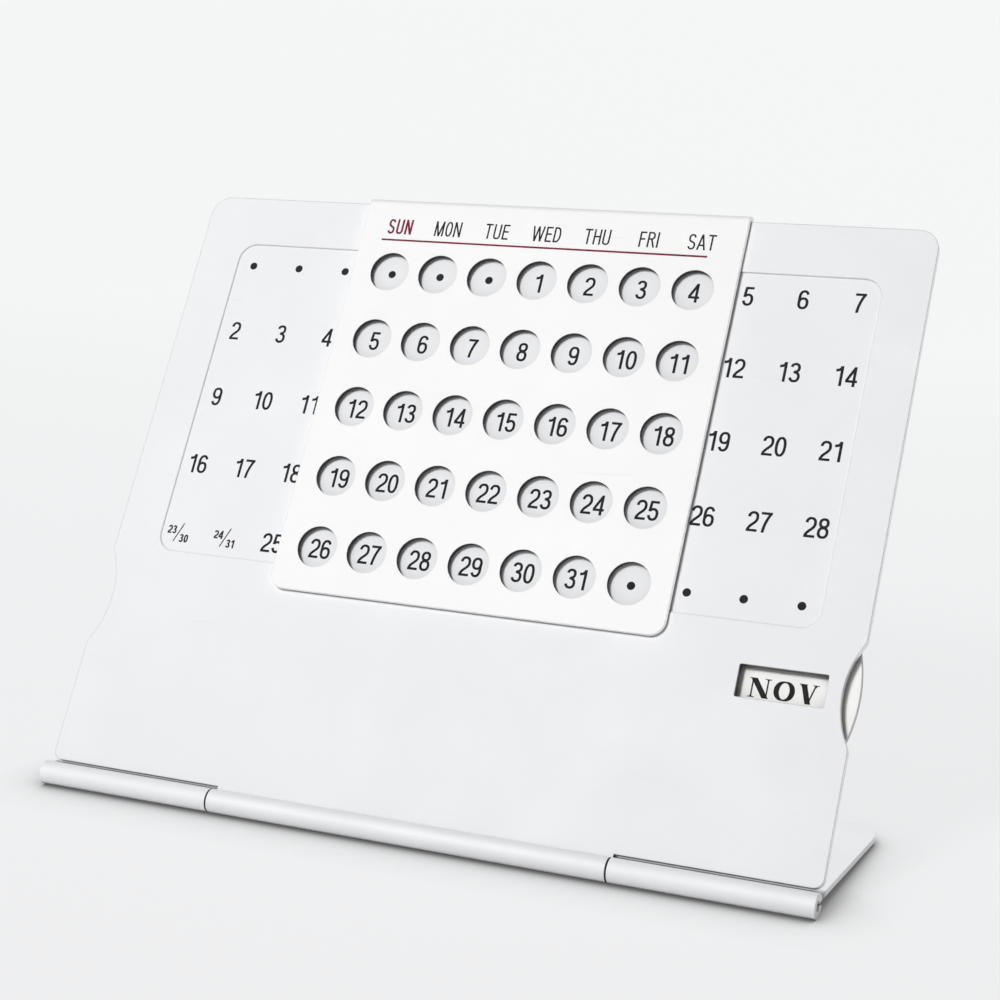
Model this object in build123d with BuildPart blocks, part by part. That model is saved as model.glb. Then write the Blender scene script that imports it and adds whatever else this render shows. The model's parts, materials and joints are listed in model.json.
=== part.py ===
from build123d import *
import os
from math import asin, cos, degrees, radians, sin

# A perpetual desk calendar in sheet aluminium. The face leans back on a hinged base,
# a date slider hooks over its top edge, and a month disc turns behind its window.
# Millimetres, +Z up, -Y towards the reader, origin on the desk below the middle.

# ---- calendar grid that every hole and panel lines up with ----
column_pitch = 10.0
row_pitch = 13.8
columns_shown = 7
rows_shown = 5
grid_shift = 0.3
grid_height = 76.0

# ---- face ----
face_width = 144.4
face_height = 118.0
face_sheet = 1.2
face_top_radius = 3.8
face_foot_radius = 1.7
panel_width = 127.1
panel_height = 63.5
panel_rise = 0.4
panel_radius = 3.4
panel_depth = 0.3

# ---- month window, thumb notches and disc ----
month_height = 34.5
window_width = 15.1
window_height = 5.6
window_radius = 0.3
window_from_edge = 12.7
notch_length = 18.0
notch_depth = 2.55
notch_fillet = 2.5
disc_radius = 26.9
disc_inset = 0.0
disc_sheet = 1.0
disc_rim_chamfer = 0.15
hub_radius = 6.0
hub_rise = 0.5
dish_inner_radius = 9.0
dish_outer_radius = 21.0
dish_depth = 0.3

# ---- disc pivot, stacked behind the face ----
stud_radius = 1.5
stud_flange_radius = 2.6
stud_flange_height = 0.3
stud_tip_chamfer = 0.3
spacer_radius = 4.5
spacer_thickness = 0.6
spring_radius = 3.4
spring_rise = 0.35
spring_sheet = 0.25
nut_radius = 3.6
nut_thickness = 1.0
nut_rim = 0.4
nut_wall = 0.7
nut_slots = 6
nut_slot_length = 1.3
nut_slot_width = 0.5

# ---- hinge ----
barrel_radius = 2.1
knuckle_length = 74.6
curl_end_angle = 20.0
base_slit_angle = 20.0
pin_recess = 2.0
pin_chamfer = 0.25
hinge_angle = 62.2

# ---- base ----
base_width = 144.4
leaf_length = 41.8
leaf_sheet = 1.0
leaf_rise = 0.35
leaf_corner_radius = 6.0
foot_radius = 4.5
foot_height = 0.5
foot_inset = 7.5

# ---- date slider ----
slider_side_margin = 7.8
slider_sheet = 0.8
slider_margin_below = 8.5
slider_return = 9.0
slider_bend_radius = 0.5
slider_corner_radius = 2.8
return_corner_radius = 2.0
date_hole_radius = 3.88

# ---- clearances ----
slide_clearance = 0.2
knuckle_gap = 0.3
pin_clearance = 0.05
stop_gap = 0.15
pivot_clearance = 0.05
stack_clearance = 0.1
nut_clearance = 0.02
slot_clearance = 0.3

# ---- heights off the hinge axis, measured square to the face (front is positive) ----
face_back = -barrel_radius
face_front = face_back + face_sheet
panel_floor = face_front - panel_depth
slider_back = face_front + slide_clearance
slider_front = slider_back + slider_sheet
return_front = face_back - slide_clearance
return_back = return_front - slider_sheet
spacer_back = face_back - spacer_thickness
disc_front = spacer_back - stack_clearance
disc_back = disc_front - disc_sheet
hub_back = disc_back - hub_rise
spring_front = hub_back - stack_clearance
spring_back = spring_front - spring_rise - spring_sheet
nut_front = spring_back
nut_back = nut_front - nut_thickness

# ---- hinge geometry ----
leaf_top = leaf_rise + leaf_sheet
bore_radius = min(barrel_radius - face_sheet, barrel_radius - leaf_sheet)
pin_radius = bore_radius - pin_clearance
leaf_slope = degrees(asin((barrel_radius + leaf_rise - foot_height) / leaf_length))
face_lean = hinge_angle - leaf_slope
open_sin = sin(radians(hinge_angle))
open_cos = cos(radians(hinge_angle))
# The face stands on the base leaf: its lower back edge clears the leaf by stop_gap.
face_foot = max((leaf_top + stop_gap + barrel_radius * open_cos) / open_sin,
                barrel_radius + slide_clearance)
# The leaf's middle stops behind the face's knuckle, clear of its back.
back_at_leaf_top = (leaf_top + barrel_radius * open_cos) / open_sin
slot_front = barrel_radius * open_sin + back_at_leaf_top * open_cos + slot_clearance
outer_knuckle = (base_width - knuckle_length) / 2 - knuckle_gap
outer_start = knuckle_length / 2 + knuckle_gap

# ---- where the parts stand ----
lean_sin = sin(radians(face_lean))
lean_cos = cos(radians(face_lean))
slider_width = (columns_shown - 1) * column_pitch + 2 * slider_side_margin
slider_top = face_height + slide_clearance + slider_sheet
slider_bottom = grid_height - (rows_shown - 1) / 2 * row_pitch - slider_margin_below
bend_outer_radius = slider_bend_radius + slider_sheet
rearmost = (
    (slider_top - bend_outer_radius) * lean_cos
    - (return_back + bend_outer_radius) * lean_sin
    + bend_outer_radius
)
axis_y = -(rearmost - barrel_radius) / 2
axis_point = Vector(0, axis_y, barrel_radius)

# On the face plane, x runs along the hinge, y up the face and z out towards the reader.
face_plane = Plane(origin=axis_point, x_dir=(1, 0, 0), z_dir=(0, -lean_sin, lean_cos))
# On the leaf plane, x runs along the hinge, y towards the rear and z up.
leaf_sin = sin(radians(leaf_slope))
leaf_cos = cos(radians(leaf_slope))
leaf_plane = Plane(origin=axis_point, x_dir=(1, 0, 0), z_dir=(0, leaf_sin, leaf_cos))

window_x = face_width / 2 - window_from_edge
disc_x = face_width / 2 - disc_inset - disc_radius
notch_radius = ((notch_length / 2) ** 2 + notch_depth**2) / (2 * notch_depth)


def across(plane, x):
    """A plane square to the hinge at x: its x is the given plane's y, its y that plane's z."""
    return Plane(origin=plane.from_local_coords(Vector(x, 0, 0)), x_dir=plane.y_dir, z_dir=plane.x_dir)


def slice_corners(reach, first, last):
    """Corners of a pie slice about the origin, between two angles in degrees."""
    angles = (first, (first + last) / 2, last)
    return [(0, 0)] + [(reach * cos(radians(a)), reach * sin(radians(a))) for a in angles]


def save(piece, name):
    """Label a finished piece and write it under its name."""
    piece.part.label = name
    export_step(piece.part, f"parts/{name}.step")


os.makedirs("parts", exist_ok=True)

# ---- face plate: one sheet with thumb notches, a rolled knuckle, a panel and a window ----
with BuildPart() as face_plate:
    with BuildSketch(face_plane.offset(face_back)) as outline:
        with Locations((0, (face_foot + face_height) / 2)):
            Rectangle(face_width, face_height - face_foot)
        fillet(outline.vertices().group_by(Axis.Y)[-1], face_top_radius)
        fillet(outline.vertices().group_by(Axis.Y)[0], face_foot_radius)
        notch_centre = face_width / 2 - notch_depth + notch_radius
        with Locations((-notch_centre, month_height), (notch_centre, month_height)):
            Circle(notch_radius, mode=Mode.SUBTRACT)
        notch_ends = outline.vertices().filter_by(
            lambda v: abs(abs(v.Y - month_height) - notch_length / 2) < notch_depth / 10
        )
        fillet(notch_ends, notch_fillet)
        with Locations((0, face_foot / 2)):
            Rectangle(knuckle_length, face_foot)
    extrude(amount=face_sheet)
    # The knuckle curls forward from the sheet and closes on the front of the face.
    with BuildSketch(across(face_plane, -knuckle_length / 2)):
        Circle(barrel_radius)
        Circle(barrel_radius - face_sheet, mode=Mode.SUBTRACT)
        with BuildLine():
            Polyline(*slice_corners(2 * barrel_radius, -90, -curl_end_angle), close=True)
        make_face(mode=Mode.SUBTRACT)
    extrude(amount=knuckle_length)
    with BuildSketch(face_plane.offset(face_front)):
        with Locations((grid_shift, grid_height + panel_rise)):
            RectangleRounded(panel_width, panel_height, panel_radius)
    extrude(amount=-panel_depth, mode=Mode.SUBTRACT)
    with BuildSketch(face_plane.offset(face_front)):
        with Locations((window_x, month_height)):
            RectangleRounded(window_width, window_height, window_radius)
    extrude(amount=-face_sheet, mode=Mode.SUBTRACT)
save(face_plate, "face_plate")

# ---- base plate: a leaf on the desk, with a slit knuckle at each end of its front ----
leaf_under_angle = degrees(asin(leaf_rise / barrel_radius))
with BuildPart() as base_plate:
    with BuildSketch(leaf_plane.offset(leaf_rise)) as leaf:
        with Locations((0, leaf_length / 2)):
            Rectangle(base_width, leaf_length)
        fillet(leaf.vertices().group_by(Axis.Y)[-1], leaf_corner_radius)
        Rectangle(2 * outer_start, 2 * slot_front, mode=Mode.SUBTRACT)
        with Locations((0, barrel_radius / 2)):
            Rectangle(base_width, barrel_radius, mode=Mode.SUBTRACT)
    extrude(amount=leaf_sheet)
    for start in (-base_width / 2, outer_start):
        with BuildSketch(across(leaf_plane, start)):
            Circle(barrel_radius)
            with Locations((barrel_radius, leaf_rise + leaf_sheet / 2)):
                Rectangle(2 * barrel_radius, leaf_sheet)
            Circle(bore_radius, mode=Mode.SUBTRACT)
            # The slit that the curl leaves open, just under the leaf.
            with BuildLine():
                Polyline(
                    *slice_corners(
                        2 * barrel_radius, leaf_under_angle - base_slit_angle, leaf_under_angle
                    ),
                    close=True,
                )
            make_face(mode=Mode.SUBTRACT)
        extrude(amount=outer_knuckle)
save(base_plate, "base_plate")

# ---- hinge pin: held in the base's knuckles, sunk a little from both ends ----
pin_length = base_width - 2 * pin_recess
with BuildPart() as hinge_pin:
    with BuildSketch(across(leaf_plane, -pin_length / 2)):
        Circle(pin_radius)
    extrude(amount=pin_length)
    chamfer(hinge_pin.edges().filter_by(GeomType.CIRCLE), pin_chamfer)
save(hinge_pin, "hinge_pin")

# ---- foot pads: rubber discs stuck under the leaf, moulded level with the desk ----
foot_x = base_width / 2 - foot_inset
foot_y = leaf_length - foot_inset
for side, name in ((-1, "foot_pad_left"), (1, "foot_pad_right")):
    with BuildPart() as foot_pad:
        with BuildSketch(leaf_plane.offset(leaf_rise)):
            with Locations((side * foot_x, foot_y)):
                Circle(foot_radius)
        extrude(amount=-(barrel_radius + leaf_rise))
        split(bisect_by=Plane.XY, keep=Keep.TOP)
    save(foot_pad, name)

# ---- pivot stud: welded to the back of the face, the month disc turns on it ----
pivot = (disc_x, month_height)
pivot_plane = Plane(
    origin=face_plane.from_local_coords(Vector(*pivot, 0)),
    x_dir=face_plane.x_dir,
    z_dir=-face_plane.y_dir,
)
pivot_axis = Axis(pivot_plane.origin, face_plane.z_dir)
with BuildPart() as pivot_stud:
    with BuildSketch(face_plane.offset(face_back)):
        with Locations(pivot):
            Circle(stud_flange_radius)
    extrude(amount=-stud_flange_height)
    with BuildSketch(face_plane.offset(face_back)):
        with Locations(pivot):
            Circle(stud_radius)
    extrude(amount=nut_back - face_back)
    stud_tip = pivot_stud.edges().filter_by(GeomType.CIRCLE).sort_by(pivot_axis)[0]
    chamfer(stud_tip, stud_tip_chamfer)
save(pivot_stud, "pivot_stud")

# ---- spacer washer: keeps the disc off the back of the face ----
with BuildPart() as disc_spacer:
    with BuildSketch(face_plane.offset(face_back)):
        with Locations(pivot):
            Circle(spacer_radius)
            Circle(stud_flange_radius + nut_clearance, mode=Mode.SUBTRACT)
    extrude(amount=-stud_flange_height)
    with BuildSketch(face_plane.offset(face_back - stud_flange_height)):
        with Locations(pivot):
            Circle(spacer_radius)
            Circle(stud_radius + nut_clearance, mode=Mode.SUBTRACT)
    extrude(amount=stud_flange_height - spacer_thickness)
save(disc_spacer, "disc_spacer")

# ---- month disc: a moulded wheel with a hub and a sunk ring on its hidden side ----
with BuildPart() as month_disc:
    with BuildSketch(face_plane.offset(disc_front)):
        with Locations(pivot):
            Circle(disc_radius)
    extrude(amount=-disc_sheet)
    chamfer(month_disc.edges().filter_by(GeomType.CIRCLE), disc_rim_chamfer)
    with BuildSketch(face_plane.offset(disc_back)):
        with Locations(pivot):
            Circle(hub_radius)
    extrude(amount=-hub_rise)
    with BuildSketch(face_plane.offset(disc_back)):
        with Locations(pivot):
            Circle(dish_outer_radius)
            Circle(dish_inner_radius, mode=Mode.SUBTRACT)
    extrude(amount=dish_depth, mode=Mode.SUBTRACT)
    with BuildSketch(face_plane.offset(disc_front)):
        with Locations(pivot):
            Circle(stud_radius + pivot_clearance)
    extrude(amount=hub_back - disc_front, mode=Mode.SUBTRACT)
save(month_disc, "month_disc")

# ---- spring washer: a dished ring that gives the disc its friction ----
with BuildPart() as spring_washer:
    with BuildSketch(pivot_plane):
        with BuildLine():
            Polyline(
                (stud_radius + pivot_clearance, spring_back),
                (stud_radius + pivot_clearance, spring_back + spring_sheet),
                (spring_radius, spring_front),
                (spring_radius, spring_front - spring_sheet),
                close=True,
            )
        make_face()
    revolve(axis=pivot_axis)
save(spring_washer, "spring_washer")

# ---- push nut: a dished cap whose slit inner edge grips the stud ----
with BuildPart() as push_nut:
    with BuildSketch(pivot_plane):
        with BuildLine():
            Polyline(
                (stud_radius + nut_clearance, nut_front),
                (nut_radius, nut_front),
                (nut_radius, nut_front - nut_rim),
                (stud_radius + nut_wall, nut_back),
                (stud_radius + nut_clearance, nut_back),
                close=True,
            )
        make_face()
    revolve(axis=pivot_axis)
    with BuildSketch(face_plane.offset(nut_front)):
        with Locations(pivot):
            with PolarLocations(stud_radius + nut_slot_length / 2, nut_slots):
                Rectangle(nut_slot_length, nut_slot_width)
    extrude(amount=nut_back - nut_front, mode=Mode.SUBTRACT)
save(push_nut, "push_nut")

# ---- date slider: one sheet, hooked over the top edge, holed where the dates show ----
with BuildPart() as date_slider:
    with BuildSketch(across(face_plane, grid_shift - slider_width / 2)):
        with BuildLine():
            FilletPolyline(
                (slider_bottom, slider_front),
                (slider_top, slider_front),
                (slider_top, return_back),
                (slider_top - slider_return, return_back),
                radius=bend_outer_radius,
            )
            offset(amount=slider_sheet, side=Side.RIGHT)
        make_face()
    extrude(amount=slider_width)
    sheet_edges = date_slider.edges().filter_by(Axis(face_plane.origin, face_plane.z_dir))
    ends = sheet_edges.group_by(Axis(face_plane.origin, face_plane.y_dir))
    fillet(ends[0], slider_corner_radius)
    fillet(ends[1], return_corner_radius)
    with BuildSketch(face_plane.offset(slider_front)):
        with Locations((grid_shift, grid_height)):
            with GridLocations(column_pitch, row_pitch, columns_shown, rows_shown):
                Circle(date_hole_radius)
    extrude(amount=-slider_sheet, mode=Mode.SUBTRACT)
save(date_slider, "date_slider")
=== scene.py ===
"""Finishes, print and studio for a perpetual desk calendar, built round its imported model.

The face leans on a hinged base. A holed slider hooks over its top edge and shows one week
grid out of the dates printed on the face, and a month disc turns behind a small window.
"""

import json
import logging
import math
from dataclasses import dataclass, field
from enum import Enum

import bpy
from mathutils import Matrix, Vector
from mathutils.geometry import delaunay_2d_cdt


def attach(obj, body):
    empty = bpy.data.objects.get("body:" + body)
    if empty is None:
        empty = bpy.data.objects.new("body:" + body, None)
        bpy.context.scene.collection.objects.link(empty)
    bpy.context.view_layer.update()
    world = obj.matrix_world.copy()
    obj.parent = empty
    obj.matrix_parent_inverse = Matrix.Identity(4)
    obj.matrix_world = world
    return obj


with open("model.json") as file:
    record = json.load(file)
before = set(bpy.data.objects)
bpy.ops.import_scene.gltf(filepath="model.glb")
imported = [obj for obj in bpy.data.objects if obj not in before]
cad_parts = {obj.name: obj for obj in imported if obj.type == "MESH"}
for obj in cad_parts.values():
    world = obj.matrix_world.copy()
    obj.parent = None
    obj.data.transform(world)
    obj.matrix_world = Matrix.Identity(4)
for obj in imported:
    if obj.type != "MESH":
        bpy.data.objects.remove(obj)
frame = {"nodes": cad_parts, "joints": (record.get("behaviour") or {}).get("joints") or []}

log = logging.getLogger("desk_calendar")

MM = 0.001
FIRST_WEEKDAY = "SUN"
WEEKDAYS = ("SUN", "MON", "TUE", "WED", "THU", "FRI", "SAT")
MONTHS = ("JAN", "FEB", "MAR", "APR", "MAY", "JUN", "JUL", "AUG", "SEP", "OCT", "NOV", "DEC")

Point = tuple[float, float]
Path = list[Point]
Colour = tuple[float, float, float]


# ---------------------------------------------------------------------------
# Lettering: every figure and letter is drawn with a few pen strokes.
# Glyph sizes are in cap heights, from the baseline at 0 to the cap line at 1.
# ---------------------------------------------------------------------------

# How far a round stroke fills its corners: 2 is an ellipse.
SQUARENESS = 2.3
# How sharply a curved stroke swells as it comes upright.
TURN_SWELL = 1.4
# The thin strokes of a figure, as a share of its heavy ones.
FIGURE_THINNING = 0.92
# The space between two figures, in cap heights.
FIGURE_GAP = 0.075


class Weight(Enum):
    """How heavily the pen presses along a stroke."""

    STEM = "full weight all the way"
    HAIR = "thin all the way"
    TURN = "full weight where the stroke runs upright, thin where it runs level"
    SPINE = "thin at both ends and full weight in the middle"
    FADE = "full weight at the start and thin at the end"


@dataclass(frozen=True)
class Stroke:
    """One pull of the pen along a centre line."""

    weight: Weight
    path: Path


@dataclass(frozen=True)
class Glyph:
    """A drawn character: its width, its strokes, and outlines such as serifs."""

    width: float
    strokes: list[Stroke]
    outlines: list[Path] = field(default_factory=list)


def bow(centre: Point, reach: Point, start: float, end: float, squareness: float = SQUARENESS) -> Path:
    """A curved stretch of a superellipse.

    Args:
        centre: The middle of the curve.
        reach: Half its width and half its height.
        start: The angle that it starts at, in degrees from the right.
        end: The angle that it ends at.
        squareness: 2 is an ellipse, and more fills the corners.

    Returns:
        The points along the stretch.
    """
    degrees_a_step = 11
    steps = max(3, round(abs(end - start) / degrees_a_step))
    points = []
    for step in range(steps + 1):
        angle = math.radians(start + (end - start) * step / steps)
        across, up = math.cos(angle), math.sin(angle)
        size = (abs(across) ** squareness + abs(up) ** squareness) ** (-1 / squareness)
        points.append((centre[0] + reach[0] * across * size, centre[1] + reach[1] * up * size))
    return points


def bend(start: Point, leave: Point, arrive: Point, end: Point) -> Path:
    """A smooth curve between two points.

    Args:
        start: Its first point.
        leave: The point that it heads for when it leaves the first.
        arrive: The point that it comes from when it reaches the last.
        end: Its last point.

    Returns:
        The points along the curve.
    """
    steps = 9
    points = []
    for step in range(steps + 1):
        t = step / steps
        shares = ((1 - t) ** 3, 3 * t * (1 - t) ** 2, 3 * t * t * (1 - t), t**3)
        corners = (start, leave, arrive, end)
        points.append(tuple(sum(s * c[axis] for s, c in zip(shares, corners)) for axis in (0, 1)))
    return points


def stem(*points: Point) -> Stroke:
    """A straight stroke of full weight."""
    return Stroke(Weight.STEM, list(points))


def hair(*points: Point) -> Stroke:
    """A straight thin stroke."""
    return Stroke(Weight.HAIR, list(points))


def turn(*stretches: Path) -> Stroke:
    """A curved stroke that is heavy where it runs upright."""
    return Stroke(Weight.TURN, [point for stretch in stretches for point in stretch])


def loop(centre: Point, reach: Point, squareness: float = SQUARENESS) -> list[Stroke]:
    """A closed ring, as two curved strokes that meet at its top and bottom."""
    return [turn(bow(centre, reach, start, start + 180, squareness)) for start in (90, 270)]


def upside_down(glyph: Glyph) -> Glyph:
    """The glyph turned by half a turn, as a nine is made from a six."""
    turned = [Stroke(s.weight, [(glyph.width - x, 1 - y) for x, y in s.path]) for s in glyph.strokes]
    return Glyph(glyph.width, turned)


def narrow_figures(weight: float) -> dict[str, Glyph]:
    """Condensed sans figures for the dates.

    Args:
        weight: The stroke's width.

    Returns:
        The figures 0 to 9.
    """
    half = weight / 2
    wide = 0.53
    mid = wide / 2
    reach = mid - half
    top, foot = 1 - half, half
    six = Glyph(
        wide,
        [
            turn(
                bow((mid, 0.62), (reach, 0.38 - half), 28, 180),
                [(half, 0.32)],
            ),
            *loop((mid, 0.315), (reach, 0.315 - half)),
        ],
    )
    return {
        "0": Glyph(wide, loop((mid, 0.5), (reach, 0.5 - half))),
        "1": Glyph(
            0.49,
            [
                stem((0.345, 0), (0.345, 1)),
                stem(*bow((0.06, 1.02), (0.27, 0.235), -2, -90, 2.6)),
            ],
        ),
        "2": Glyph(
            wide,
            [
                turn(
                    bow((mid, 0.70), (reach, 0.30 - half), 176, -8),
                    bend((0.463, 0.63), (0.42, 0.40), (0.11, 0.34), (0.075, foot)),
                ),
                hair((0.012, foot), (wide - 0.005, foot)),
            ],
        ),
        "3": Glyph(
            wide,
            [
                turn(bow((mid - 0.01, 0.74), (reach - 0.02, 0.26 - half), 168, -90)),
                turn(bow((mid, 0.285), (reach, 0.285 - half), 90, -168)),
                hair((0.19, 0.525), (mid, 0.525)),
            ],
        ),
        "4": Glyph(
            0.56,
            [
                stem((0.405, 0), (0.405, 1)),
                stem((0.40, 0.95), (0.055, 0.30)),
                hair((0.005, 0.265), (0.56, 0.265)),
            ],
        ),
        "5": Glyph(
            wide,
            [
                hair((0.085, top), (0.49, top)),
                stem((0.125, 0.97), (0.085, 0.46)),
                turn(bow((mid, 0.325), (reach, 0.325 - half), 146, -168)),
            ],
        ),
        "6": six,
        "7": Glyph(
            wide,
            [
                hair((0.01, top), (wide, top)),
                stem(*bend((0.462, 0.93), (0.34, 0.72), (0.21, 0.40), (0.19, 0))),
            ],
        ),
        "8": Glyph(
            wide,
            [
                *loop((mid, 0.745), (reach - 0.022, 0.255 - half)),
                *loop((mid, 0.29), (reach, 0.29 - half)),
            ],
        ),
        "9": upside_down(six),
    }


def narrow_capitals(weight: float) -> dict[str, Glyph]:
    """Condensed sans capitals for the weekdays.

    Args:
        weight: The stroke's width.

    Returns:
        The letters that the weekdays need.
    """
    half = weight / 2
    top, middle, foot = 1 - half, 0.52, half
    tall = 0.27
    post = stem((half, 0), (half, 1))
    return {
        "A": Glyph(
            0.50,
            [stem((0.035, 0), (0.25, 1)), stem((0.465, 0), (0.25, 1)), hair((0.10, 0.30), (0.40, 0.30))],
        ),
        "D": Glyph(
            0.45,
            [
                post,
                turn(
                    [(0, top), (0.16, top)],
                    bow((0.18, 0.5), (0.27 - half, 0.5 - half), 88, -88),
                    [(0.16, foot), (0, foot)],
                ),
            ],
        ),
        "E": Glyph(
            0.40,
            [
                post,
                hair((0, top), (0.395, top)),
                hair((0, middle), (0.37, middle)),
                hair((0, foot), (0.40, foot)),
            ],
        ),
        "F": Glyph(
            0.39,
            [post, hair((0, top), (0.39, top)), hair((0, middle), (0.35, middle))],
        ),
        "H": Glyph(
            0.46,
            [post, stem((0.46 - half, 0), (0.46 - half, 1)), hair((0, middle), (0.46, middle))],
        ),
        "I": Glyph(weight, [post]),
        "M": Glyph(
            0.58,
            [
                post,
                stem((0.58 - half, 0), (0.58 - half, 1)),
                stem((half, 1), (0.29, 0)),
                stem((0.29, 0), (0.58 - half, 1)),
            ],
        ),
        "N": Glyph(
            0.47,
            [
                post,
                stem((0.47 - half, 0), (0.47 - half, 1)),
                stem((half, 1), (0.47 - half, 0)),
            ],
        ),
        "O": Glyph(0.44, loop((0.22, 0.5), (0.22 - half, 0.5 - half))),
        "R": Glyph(
            0.46,
            [
                post,
                turn(
                    [(0, top), (0.20, top)],
                    bow((0.21, 0.745), (0.235 - half, 0.255 - half), 88, -88),
                    [(0.20, 0.49 + half), (0, 0.49 + half)],
                ),
                stem((0.25, 0.52), (0.425, 0)),
            ],
        ),
        "S": Glyph(
            0.45,
            [
                turn(
                    bow((0.225, 1 - tall), (0.215 - half, tall - half), 14, 232),
                    bow((0.225, tall), (0.225 - half, tall - half), 52, -166),
                )
            ],
        ),
        "T": Glyph(0.46, [stem((0.23, 0), (0.23, 1)), hair((0, top), (0.46, top))]),
        "U": Glyph(
            0.46,
            [
                turn(
                    [(half, 1)],
                    bow((0.23, 0.25), (0.23 - half, 0.25 - half), 180, 360),
                    [(0.46 - half, 1)],
                )
            ],
        ),
        "W": Glyph(
            0.74,
            [
                stem((0.035, 1), (0.19, 0)),
                stem((0.19, 0), (0.37, 1)),
                stem((0.37, 1), (0.55, 0)),
                stem((0.55, 0), (0.705, 1)),
            ],
        ),
    }


def foot_serif(x: float, half: float, left: float = 0.15, right: float = 0.15) -> Path:
    """A bracketed serif on the baseline.

    Args:
        x: The middle of the stroke that stands on it.
        half: Half that stroke's width.
        left: How far the serif reaches to the left of the stroke's middle.
        right: How far it reaches to the right.

    Returns:
        The serif's outline.
    """
    slab, bracket = 0.038, 0.13
    rising = bend((x + right, slab), (x + half + 0.02, slab), (x + half, slab + 0.02), (x + half, bracket))
    falling = bend((x - half, bracket), (x - half, slab + 0.02), (x - half - 0.02, slab), (x - left, slab))
    return [(x - left, 0), (x + right, 0), *rising, *falling]


def head_serif(x: float, half: float, left: float = 0.15, right: float = 0.15) -> Path:
    """A bracketed serif under the cap line: a foot serif upside down."""
    return [(px, 1 - py) for px, py in foot_serif(x, half, left, right)]


def beak(x: float, y: float, drop: float, back: float = 0.13) -> Path:
    """The wedge at the end of a thin arm, at its tip, hanging by drop and reaching back."""
    return [(x, y), (x, y + drop), (x - math.copysign(0.02, back), y + drop), (x - back, y)]


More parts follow.
